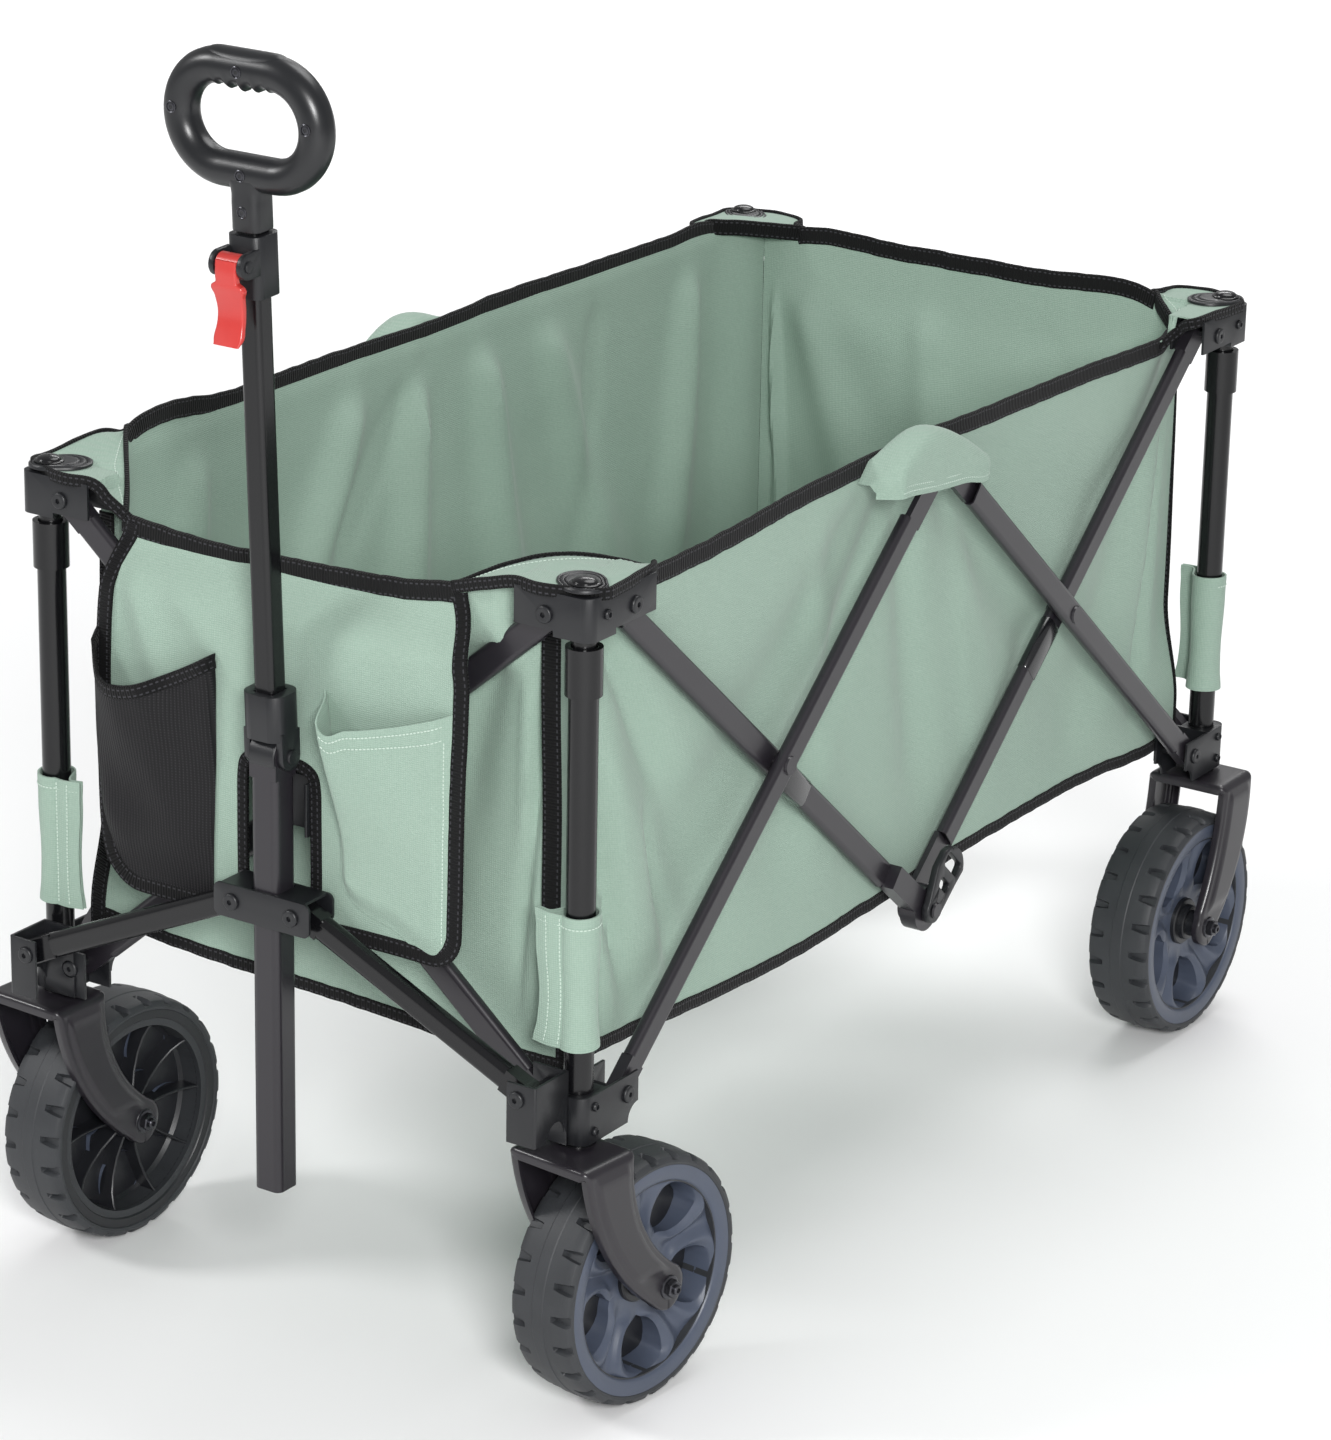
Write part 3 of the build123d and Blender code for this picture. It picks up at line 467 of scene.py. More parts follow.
def even_path(points: Sequence, step: float, smooth: bool = True) -> np.ndarray:
    """A path through the points, sampled evenly.

    Args:
        points: Points in millimetres.
        step: Distance between samples, in millimetres.
        smooth: Whether it curves through the points.

    Returns:
        The samples, one row each.
    """
    p = np.array(points, float)
    if smooth and len(p) > 2:
        ends = np.vstack([2 * p[0] - p[1], p, 2 * p[-1] - p[-2]])
        dense = []
        for i in range(1, len(ends) - 2):
            a, b, c, d = ends[i - 1:i + 3]
            for t in np.linspace(0, 1, 24, endpoint=False):
                dense.append(0.5 * (2 * b + (c - a) * t + (2 * a - 5 * b + 4 * c - d) * t**2
                                    + (3 * b - a - 3 * c + d) * t**3))
        p = np.vstack([dense, ends[-2]])
    run = np.concatenate([[0], np.cumsum(np.linalg.norm(np.diff(p, axis=0), axis=1))])
    at = np.linspace(0, run[-1], max(2, int(round(run[-1] / step)) + 1))
    return read_path(p, run, at)


def read_path(path: np.ndarray, marks: np.ndarray, at: np.ndarray) -> np.ndarray:
    """The points at some marks along a path whose own points carry the given marks."""
    return np.stack([np.interp(at, marks, path[:, k]) for k in range(3)], axis=1)


def ripple(points: np.ndarray, size: float, seed: float) -> np.ndarray:
    """Smooth noise at each point.

    Args:
        points: Points in millimetres.
        size: The noise's size in millimetres.
        seed: A shift that gives each piece its own noise.

    Returns:
        Values from about -1 to 1, one for each point.
    """
    flat = np.asarray(points, float).reshape(-1, 3)
    found = [noise.noise(Vector(p) / size + Vector((seed, seed, seed))) for p in flat]
    return np.array(found).reshape(np.asarray(points).shape[:-1])


@dataclass
class Shell:
    """Points in millimetres and the faces between them, before they become an object."""

    points: np.ndarray
    faces: list
    along: np.ndarray | None = None
    inset: np.ndarray | None = None

    @staticmethod
    def joined(parts: Sequence["Shell"]) -> "Shell":
        """One shell out of several.

        Args:
            parts: The shells.

        Returns:
            A shell with all of their faces.
        """
        points, faces, count = [], [], 0
        for part in parts:
            points.append(part.points)
            faces += [tuple(i + count for i in face) for face in part.faces]
            count += len(part.points)
        return Shell(np.vstack(points), faces)

    @staticmethod
    def grid(points: np.ndarray, wrap_rows: bool = False, wrap_columns: bool = False,
             caps: bool = False) -> "Shell":
        """A surface over a grid of points.

        Args:
            points: Rows by columns by 3.
            wrap_rows: Whether the last row joins the first.
            wrap_columns: Whether the last column joins the first.
            caps: Whether the first and last rows are filled in.

        Returns:
            The surface.
        """
        rows, columns = points.shape[:2]
        faces = []
        for i in range(rows if wrap_rows else rows - 1):
            for j in range(columns if wrap_columns else columns - 1):
                a, b = i * columns, (i + 1) % rows * columns
                k = (j + 1) % columns
                faces.append((a + j, a + k, b + k, b + j))
        if caps:
            faces.append(tuple(range(columns))[::-1])
            faces.append(tuple(range((rows - 1) * columns, rows * columns)))
        return Shell(points.reshape(-1, 3), faces)

    @staticmethod
    def revolved(profile: Sequence, count: int = 96) -> "Shell":
        """A closed ring about the x axis.

        Args:
            profile: (x, radius) pairs round the ring's section.
            count: Steps round the axis.

        Returns:
            The ring.
        """
        turn = np.linspace(0, 2 * np.pi, count, endpoint=False)
        p = np.array(profile, float)
        grid = np.stack([np.broadcast_to(p[:, 0], (count, len(p))), np.outer(np.cos(turn), p[:, 1]),
                         np.outer(np.sin(turn), p[:, 1])], axis=-1)
        return Shell.grid(grid, wrap_rows=True, wrap_columns=True)

    @staticmethod
    def sheet(points: np.ndarray, thickness: float, keep: np.ndarray | None = None) -> "Shell":
        """A closed sheet of even thickness over a grid of points.

        Args:
            points: Rows by columns by 3, the sheet's middle.
            thickness: Its thickness.
            keep: Which of the grid's cells are there; all of them if left out.

        Returns:
            The sheet.
        """
        rows, columns = points.shape[:2]
        normal = unit(np.cross(np.gradient(points, axis=1), np.gradient(points, axis=0)))
        flat = points.reshape(-1, 3)
        shift = normal.reshape(-1, 3) * thickness / 2
        count = rows * columns
        faces, edges = [], {}
        for i in range(rows - 1):
            for j in range(columns - 1):
                if keep is not None and not keep[i, j]:
                    continue
                a = i * columns + j
                ring = (a, a + 1, a + columns + 1, a + columns)
                faces.append(ring)
                faces.append(tuple(k + count for k in ring[::-1]))
                for s, e in zip(ring, ring[1:] + ring[:1]):
                    if (e, s) in edges:
                        del edges[(e, s)]
                    else:
                        edges[(s, e)] = True
        faces += [(e, s, s + count, e + count) for s, e in edges]
        return Shell(np.vstack([flat + shift, flat - shift]), faces)

    @staticmethod
    def swept(path: np.ndarray, side: np.ndarray, section: Sequence, closed: bool = False) -> "Shell":
        """A section carried along a path.

        Args:
            path: The path's points.
            side: The section's first axis at each point, or one for all of them.
            section: (first, second) pairs; the second axis is square to the path and the first.
            closed: Whether the path joins up with itself.

        Returns:
            The swept solid, with distances along it and in from its section's ends.
        """
        ahead = np.roll(path, -1, 0) - np.roll(path, 1, 0) if closed else np.gradient(path, axis=0)
        ahead = unit(ahead)
        side = np.broadcast_to(np.asarray(side, float), path.shape)
        side = unit(side - ahead * np.sum(side * ahead, axis=1, keepdims=True))
        other = np.cross(ahead, side)
        s = np.array(section, float)
        grid = path[:, None] + side[:, None] * s[None, :, :1] + other[:, None] * s[None, :, 1:]
        shell = Shell.grid(grid, wrap_rows=closed, wrap_columns=True, caps=not closed)
        run = np.concatenate([[0], np.cumsum(np.linalg.norm(np.diff(path, axis=0), axis=1))])
        reach = np.abs(s[:, 0]).max()
        shell.along = np.repeat(run, len(s))
        shell.inset = np.tile(reach - np.abs(s[:, 0]), len(path))
        return shell

    def moved(self, matrix: Matrix) -> "Shell":
        """The shell after a transform.

        Args:
            matrix: A 4 x 4 matrix in millimetres.

        Returns:
            The transformed shell.
        """
        m = np.array(matrix, float)
        faces = self.faces if np.linalg.det(m[:3, :3]) > 0 else [f[::-1] for f in self.faces]
        return Shell(self.points @ m[:3, :3].T + m[:3, 3], faces, self.along, self.inset)


def rounded_section(width: float, height: float, radius: float, steps: int = 4) -> list[tuple[float, float]]:
    """A rectangle with rounded corners.

    Args:
        width: Its size along the first axis.
        height: Its size along the second axis.
        radius: The corners' radius.
        steps: Steps round each corner.

    Returns:
        The outline's points.
    """
    found = []
    for k, (sx, sy) in enumerate(((1, 1), (-1, 1), (-1, -1), (1, -1))):
        for t in np.linspace(0, math.pi / 2, steps):
            turn = k * math.pi / 2 + t
            found.append((sx * (width / 2 - radius) + radius * math.cos(turn),
                          sy * (height / 2 - radius) + radius * math.sin(turn)))
    return found


def tape_section(width: float, thickness: float) -> list[tuple[float, float]]:
    """A flat tape's section, with enough points across it to hold its stitch lines.

    Args:
        width: The tape's width.
        thickness: Its thickness.

    Returns:
        The outline's points.
    """
    half, deep = width / 2, thickness / 2
    stops = [-half, -half + 0.5, -half + 1.7, -half + 2.7, 0, half - 2.7, half - 1.7, half - 0.5, half]
    lift = [0.35, 0.85, 1, 1, 1.1, 1, 1, 0.85, 0.35]
    upper = [(a, deep * k) for a, k in zip(stops, lift)]
    return upper[::-1] + [(a, -b) for a, b in upper]


def make_piece(name: str, shell: Shell, finish: Finish, body: str, side: int = 1, end: int = 1,
               sharp_deg: float = 38.0, flatten: Flatten = Flatten.NONE) -> bpy.types.Object:
    """Turn a shell into an object that rides on a CAD body.

    The shell is given for the front right of the wagon, from the frame's middle, in millimetres.

    Args:
        name: The piece's name.
        shell: Its points and faces.
        finish: Its finish.
        body: The CAD body that it rides on.
        side: -1 mirrors it to the left.
        end: -1 mirrors it to the rear.
        sharp_deg: Edges sharper than this stay crisp.
        flatten: How it would flatten when the wagon folds; any value but NONE only gives it its own copy of
            the mesh.

    Returns:
        The object.
    """
    points = shell.points * (side, end, 1) + (0, MID_Y, 0)
    faces = shell.faces if side * end > 0 else [face[::-1] for face in shell.faces]
    mesh = bpy.data.meshes.new(name)
    mesh.from_pydata((points * MM).tolist(), [], faces)
    for label, values in (("along", shell.along), ("inset", shell.inset)):
        if values is not None:
            mesh.attributes.new(label, "FLOAT", "POINT").data.foreach_set("value",
                                                                          (values * MM).astype(np.float32))
    mesh.validate()
    tidy = bmesh.new()
    tidy.from_mesh(mesh)
    bmesh.ops.delete(tidy, geom=[vert for vert in tidy.verts if not vert.link_faces], context="VERTS")
    bmesh.ops.remove_doubles(tidy, verts=tidy.verts, dist=0.01 * MM)
    bmesh.ops.recalc_face_normals(tidy, faces=tidy.faces)
    tidy.to_mesh(mesh)
    tidy.free()
    mesh.shade_smooth()
    mesh.set_sharp_from_angle(angle=math.radians(sharp_deg))
    mesh.materials.append(finish.material())
    made = bpy.data.objects.new(name, mesh)
    bpy.context.scene.collection.objects.link(made)
    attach(made, body)
    if flatten is not Flatten.NONE:
        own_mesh(made)
    return made


def make_tape(name: str, path: np.ndarray, across: np.ndarray | tuple, size: tuple, body: str, side: int = 1,
              end: int = 1, flatten: Flatten = Flatten.NONE) -> bpy.types.Object:
    """A grosgrain tape along a path.

    Args:
        name: The tape's name.
        path: Its middle line.
        across: The direction of its width at each point, or one for all of them.
        size: Its width and thickness.
        body: The CAD body that it rides on.
        side: -1 mirrors it to the left.
        end: -1 mirrors it to the rear.
        flatten: How it would flatten when the wagon folds, handed on to make_piece, which only gives the tape
            its own copy of the mesh.

    Returns:
        The tape.
    """
    return make_piece(name, Shell.swept(path, across, tape_section(*size)), GROSGRAIN, body, side, end,
                      flatten=flatten)


def soften(node: str, name: str, finish: Finish, edge_mm: float = 0.9,
           top_mm: float | None = None) -> bpy.types.Object:
    """A copy of a CAD node with its edges rounded, which stands for the node.

    Args:
        node: The CAD node.
        name: The copy's name.
        finish: Its finish.
        edge_mm: The radius of its edges.
        top_mm: Height above which the copy is cut away, where other pieces take its place.

    Returns:
        The copy.
    """
    source = frame["nodes"][node]
    work = bmesh.new()
    work.from_mesh(source.data)
    bmesh.ops.remove_doubles(work, verts=work.verts, dist=0.01 * MM)
    # A bolt's shank and its hole share their rims, so the two are parted again.
    bmesh.ops.split_edges(work, edges=[edge for edge in work.edges if len(edge.link_faces) > 2])
    if top_mm is not None:
        cut = bmesh.ops.bisect_plane(work, geom=[*work.verts, *work.edges, *work.faces], clear_outer=True,
                                     plane_co=(0, 0, top_mm * MM), plane_no=(0, 0, 1))["geom_cut"]
        bmesh.ops.triangle_fill(work, edges=[item for item in cut if isinstance(item, bmesh.types.BMEdge)],
                                use_beauty=True)
        bmesh.ops.recalc_face_normals(work, faces=work.faces)
    mesh = bpy.data.meshes.new(name)
    work.to_mesh(mesh)
    work.free()
    mesh.materials.clear()
    mesh.materials.append(finish.material())
    mesh.shade_smooth()
    made = bpy.data.objects.new(name, mesh)
    bpy.context.scene.collection.objects.link(made)
    round_off = made.modifiers.new("rounded edges", "BEVEL")
    round_off.width = edge_mm * MM
    round_off.segments = 2
    round_off.limit_method = "ANGLE"
    round_off.angle_limit = math.radians(34)
    round_off.harden_normals = True
    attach(made, source["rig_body"])
    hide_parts(node)
    return made


def paint(node: str, finish: Finish) -> None:
    """Give a CAD node that stays its finish.

    Args:
        node: The CAD node.
        finish: Its finish.
    """
    shown = frame["nodes"][node]
    shown.data.materials.clear()
    shown.data.materials.append(finish.material())


def stitches(name: str, path: np.ndarray, outward: np.ndarray, body: str, side: int = 1, end: int = 1,
             flatten: Flatten = Flatten.NONE, pitch: float = 2.8, length: float = 2.1) -> bpy.types.Object:
    """A row of separate thread stitches that lie on a cloth.

    Args:
        name: The row's name.
        path: The seam line.
        outward: The cloth's outward direction at each point, or one for all of them.
        body: The CAD body that it rides on.
        side: -1 mirrors it to the left.
        end: -1 mirrors it to the rear.
        flatten: How it would flatten when the wagon folds, handed on to make_piece, which only gives the row
            its own copy of the mesh.
        pitch: Distance from stitch to stitch, in millimetres.
        length: Each stitch's length, in millimetres.

    Returns:
        The object.
    """
    fine = even_path(path, pitch, smooth=False)
    outward = np.broadcast_to(np.asarray(outward, float), (len(path), 3))
    pick = np.linspace(0, len(path) - 1, len(fine)).round().astype(int)
    ahead = unit(np.gradient(fine, axis=0))
    ring = np.linspace(0, 2 * math.pi, 6, endpoint=False)
    parts = []
    for point, along, out in zip(fine, ahead, unit(outward[pick])):
        across = np.cross(along, out)
        rows = [point + along * length * (t - 0.5)
                + (across * 0.5 * math.cos(a) + out * 0.4 * math.sin(a)) * swell
                for t, swell in ((0, 0.35), (0.25, 1), (0.75, 1), (1, 0.35)) for a in ring]
        parts.append(Shell.grid(np.array(rows).reshape(4, 6, 3), wrap_columns=True, caps=True))
    return make_piece(name, Shell.joined(parts), PALE_THREAD, body, side, end, flatten=flatten)


# ------------------------------------------------------------------ frame
@dataclass
class SteelFrame:
    """Posts, scissor bars, links and their brackets. Sizes are in millimetres."""

    pivot_low: float = 227.0
    pivot_high: float = 570.0
    reach: float = 400.0
    inner_layer: float = 6.0
    sleeve_length: float = 46.0
    sleeve_start: float = 12.0
    bracket_edge: float = 1.0
    bracket_top: float = 585.4
    cap_base: float = 588.0

    def dress(self) -> None:
        """Give the tubes and bars their coat, and round the brackets' edges."""
        for corner in Corner:
            paint(f"lower_post_{corner.code}", ENAMEL)
            paint(f"upper_post_{corner.code}", ENAMEL)
            soften(f"bottom_bracket_{corner.code}", f"corner_bracket_low_{corner.code}", NYLON,
                   self.bracket_edge)
            soften(f"top_bracket_{corner.code}", f"corner_bracket_high_{corner.code}", NYLON,
                   self.bracket_edge, self.bracket_top)
        for side in Side:
            for end in ("front", "rear"):
                for way in ("rising", "falling"):
                    paint(f"side_bar_{side.word}_{end}_{way}", POWDER_COAT)
            soften(f"lock_lever_{side.word}", f"lock_paddle_{side.word}", NYLON, 1.2)
            paint(f"lower_link_{side.word}", ENAMEL)
        for end in ("front", "rear"):
            for layer in ("outer", "inner"):
                paint(f"end_bar_{end}_{layer}", POWDER_COAT)
        soften("mast_bracket", "centre_bracket", NYLON, 1.4)
        soften("mast_guide", "guide_plate", NYLON, 0.6)
        for corner in Corner:
            self.corner_cap(corner)
        log.info("steel frame dressed")

    def corner_cap(self, corner: Corner) -> None:
        """The ridged cap on a corner, which holds the cloth down, and the domed bolt through it.

        Args:
            corner: Which corner.
        """
        turns = np.linspace(0, 2 * math.pi, 72, endpoint=False)
        outline = []
        for turn in turns:
            out = np.array((math.cos(turn), math.sin(turn)))
            inward = max(0.0, float(out @ (-0.7071, 0.7071)))
            outline.append(out * (15.5 + 13.0 * inward**2))
        outline = np.array(outline) + (POST_X - 1, 1 - POST_Y)
        middle = np.array((POST_X, -POST_Y))
        rows = []
        for share, z in ((1.0, 0.0), (1.0, 1.6), (0.96, 2.3), (0.9, 2.2), (0.87, 1.3), (0.84, 2.4),
                         (0.79, 2.7),
                         (0.74, 2.6), (0.71, 1.7), (0.68, 2.8), (0.63, 3.0), (0.52, 3.0), (0.1, 3.1)):
            ring = middle + (outline - middle) * share
            rows.append(np.column_stack([ring, np.full(len(ring), self.cap_base + z)]))
        body = f"top_{corner.code}"
        make_piece(f"corner_cap_{corner.code}", Shell.grid(np.array(rows), wrap_columns=True, caps=True),
                   NYLON, body, corner.side, corner.end, sharp_deg=50)
        profile = [(2.8, 0.1), (2.8, 10.2), (3.5, 10.4), (3.9, 9.9), (4.1, 8.7)]
        profile += [(4.1 + 3.2 * math.sin(t), 8.6 * math.cos(t)) for t in np.linspace(0.05, 1.5, 12)]
        shell = Shell.revolved(profile, 48)
        shell = shell.moved(Matrix.Rotation(math.radians(-90), 4, "Y"))
        shell = shell.moved(Matrix.Translation((POST_X, -POST_Y, self.cap_base)))
        make_piece(f"corner_bolt_{corner.code}", shell, ENAMEL, body, corner.side, corner.end)

    def bar_sleeves(self) -> None:
        """The glossy sleeves on the inner side bars, just below their crossings."""
        for side in Side:
            for end, word in ((1, "front"), (-1, "rear")):
                run = Vector((0, self.reach, self.pivot_low - self.pivot_high)).normalized()
                middle = Vector((POST_X - self.inner_layer, -self.reach / 2,
                                 (self.pivot_low + self.pivot_high) / 2))
                start = middle + run * self.sleeve_start
                path = np.array([start + run * self.sleeve_length * t for t in (0, 0.03, 0.97, 1)])
                section = rounded_section(10.2, 21.4, 4.6)
                shell = Shell.swept(path, (1, 0, 0), section)
                for k, grow in ((0, 0.92), (3, 0.92)):
                    ring = shell.points[k * len(section):(k + 1) * len(section)]
                    ring[:] = ring.mean(0) + (ring - ring.mean(0)) * grow
                make_piece(f"bar_sleeve_{side.word}_{word}", shell, SMOOTH_NYLON,
                           f"bar_{side.word}_{word}_high", side.value, end)
        log.info("bar sleeves built")

    def link_eye(self) -> None:
        """The flattened end of the left-hand lower link, on its bolt."""
        outer, inner = Vector((208, MAST_Y, 248)), Vector((25, MAST_Y, 332))
        run = (inner - outer).normalized()
        across = Vector((0, 1, 0)).cross(run)
        arc = [outer + run * 9 * math.cos(a) + across * 9 * math.sin(a)
               for a in np.linspace(math.pi / 2, 3 * math.pi / 2, 13)]
        outline = [outer + run * 19 + across * 8.5, *arc, outer + run * 19 - across * 8.5]
        layers = []
        for y, shrink in ((-5.8, 0.9), (-5.0, 1.0), (5.0, 1.0), (5.8, 0.9)):
            centre = outer + run * 5
            layers.append([centre + (p - centre) * shrink + Vector((0, y, 0)) for p in outline])
        make_piece("link_eye_left", Shell.grid(np.array(layers), wrap_columns=True, caps=True),
                   ENAMEL, "link_left", side=-1)
        log.info("link eye built")


# ------------------------------------------------------------------ wheels
@dataclass
class Wheel:
    """A wheel: its notched tread, slate spoked face and black ribbed inside. Sizes are in millimetres."""

    corner: Corner
    yaw_deg: float = 0.0
    tread_radius: float = 90.0
    half_width: float = 26.0
    notches: int = 24
    notch_floor: float = 84.6
    spokes: int = 5
    ribs: int = 10

    def place(self) -> Matrix:
        """Where the wheel stands, with its spoked face outboard."""
        tyre = f"tyre_{self.corner.code}"
        centre = Vector((middle_of(tyre, 0), middle_of(tyre, 1) - MID_Y, self.tread_radius))
        turn = Matrix.Rotation(math.radians(self.yaw_deg), 4, "Z")
        return Matrix.Translation(centre) @ turn @ Matrix.Scale(self.corner.side, 4, (1, 0, 0))

    def tread(self) -> Shell:
        """The tread, with wedge-shaped notches that alternate between its two shoulders.

        Returns:
            The tread about the x axis.
        """
        half = ((0.0, 90.0), (4.2, 90.0), (5.0, 89.5), (9.0, 89.4), (11.6, 89.3), (12.6, 89.2), (17.0, 89.1),
                (21.5, 88.5), (23.8, 87.4), (25.3, 85.6), (26.0, 83.4), (25.6, 81.6), (24.0, 80.6),
                (23.0, 69.0))
        profile = [*reversed([(-x, r) for x, r in half[1:]]), *half]
        pitch = 360 / self.notches
        turns = []
        for k in range(self.notches):
            for home, right in ((0.0, True), (pitch / 2, False)):
                for offset, deep in ((-1.25, 0), (-0.82, 1), (0, 1), (0.82, 1), (1.25, 0)):
                    turns.append((k * pitch + home, offset, deep, right))
                turns.append((k * pitch + home + pitch / 4, 0.0, 0, right))
        rows = []
        for home, offset, deep, right in turns:
            row = []
            for x, radius in profile:
                width = np.interp(abs(x), (11.6, self.half_width), (1.15, 2.35))
                cut = deep and (x > 0) == right and 12.0 < abs(x) < 25.5
                r = min(radius, self.notch_floor) if cut else radius
                turn = math.radians(home + offset * width)
                row.append((x, r * math.cos(turn), r * math.sin(turn)))
            rows.append(row)
        return Shell.grid(np.array(rows), wrap_rows=True, wrap_columns=True)

    def opening(self, radius: np.ndarray) -> np.ndarray:
        """Half the width of a face opening at a radius.

        Args:
            radius: Distances from the axle.

        Returns:
            Half-widths there.
        """
        shape = Curve(((30, 0), (32.5, 3.4), (36, 9.5), (41, 14.5), (47, 18.2), (54, 20.4), (60, 20.6),
                       (65, 18.5), (67.6, 12.5), (68.8, 5.5), (69.4, 0)))
        return np.maximum(shape(radius), 0)

    def face(self) -> Shell:
        """The five grooved spokes, each with its side walls, as one surface.

        Returns:
            The spoked face about the x axis.
        """
        radii = np.concatenate([[14, 18, 23, 27], np.linspace(30, 69.4, 30)])
        across = np.linspace(-1, 1, 17)
        parts = []
        for k in range(self.spokes):
            centre = math.radians(18) + k * 2 * math.pi / self.spokes
            rows = []
            for r in radii:
                reach = math.pi / self.spokes - self.opening(r) / r
                fade = ease(r, 22, 36)
                base = 10.5 + 10.0 * max(0, (r - 16) / 53.4) ** 1.5
                row = []
                for u in (-1, -1, *across, 1, 1):
                    turn = centre + u * reach
                    crest = 2.6 * math.exp(-((abs(u) - 0.6) / 0.24) ** 2) - 3.0 * math.exp(-(u / 0.26) ** 2)
                    row.append([base + fade * (crest - 1.0 * abs(u) ** 6), r * math.cos(turn),
                                r * math.sin(turn)])
                for j, x in ((0, -4.0), (1, 4.0), (-2, 4.0), (-1, -4.0)):
                    row[j][0] = x
                rows.append(row)
            parts.append(Shell.grid(np.array(rows)))
        return Shell.joined(parts)

    def inside(self) -> Shell:
        """The closed web behind the spokes, with its radial ribs, and the barrel of the rim.

        Returns:
            The black inside about the x axis.
        """
        web = [(-3, 68.5), (0.0, 66), (2.0, 40), (4.0, 15), (1.0, 15), (-1.0, 40), (-3.5, 66), (-6, 68.5)]
        barrel = [(1, 81.6), (1, 70), (-19, 69), (-22.5, 71), (-23.4, 74), (-24.6, 75), (-24.8, 80.8),
                  (-23.6, 81.8)]
        boss = [(4, 5), (4, 17), (-16, 16), (-19, 15), (-19, 11), (-30, 10), (-31, 9), (-31, 5)]
        parts = [Shell.revolved(web), Shell.revolved(barrel), Shell.revolved(boss, 48)]
        for k in range(self.ribs):
            turn = Matrix.Rotation(2 * math.pi * k / self.ribs, 4, "X")
            rows = []
            for r, deep in ((14, -15.5), (20, -14.5), (32, -12.5), (46, -12.5), (58, -14.5), (66, -18.0),
                            (69.6, -20.5)):
                rows.append([(0, r, -1.2), (deep + 0.6, r, -1.0), (deep, r, -0.4),
                             (deep, r, 0.4), (deep + 0.6, r, 1.0), (0, r, 1.2)])
            parts.append(Shell.grid(np.array(rows, float), wrap_columns=True, caps=True).moved(turn))
        return Shell.joined(parts)

    def build(self) -> None:
        """Build the wheel's pieces, and let them stand for its two CAD nodes."""
        code, at = self.corner.code, self.place()
        body = f"wheel_{code}"
        tread = make_piece(f"tread_{code}", self.tread().moved(at), TREAD_FOAM, body, sharp_deg=24)
        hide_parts(f"tyre_{code}")
        lip = [(-1, 70.5), (-1, 81.2), (22, 81.4), (24.2, 81.8), (25.2, 81.2), (25.4, 79.5), (25.0, 72.0),
               (23.8, 70.2), (20.4, 69.3), (8, 69.0)]
        centre = make_piece(f"wheel_face_{code}", Shell.joined([self.face(), Shell.revolved(lip)]).moved(at),
                            POLYPROPYLENE, body, sharp_deg=46)
        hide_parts(f"wheel_hub_{code}")
        make_piece(f"wheel_inside_{code}", self.inside().moved(at), BLACK_POLYPROPYLENE, body)
        hub = [(6, 4.5), (6, 19), (13.5, 18.6), (14.4, 17.8), (14.6, 14.2), (18.6, 13.8), (19.4, 13),
               (19.6, 10.4), (26, 10.2), (26.4, 8.6), (30.5, 8.4), (31, 7.8), (31, 4.5)]
        make_piece(f"wheel_boss_{code}", Shell.revolved(hub, 48).moved(at), NYLON, body)
        log.info("wheel %s built", code)


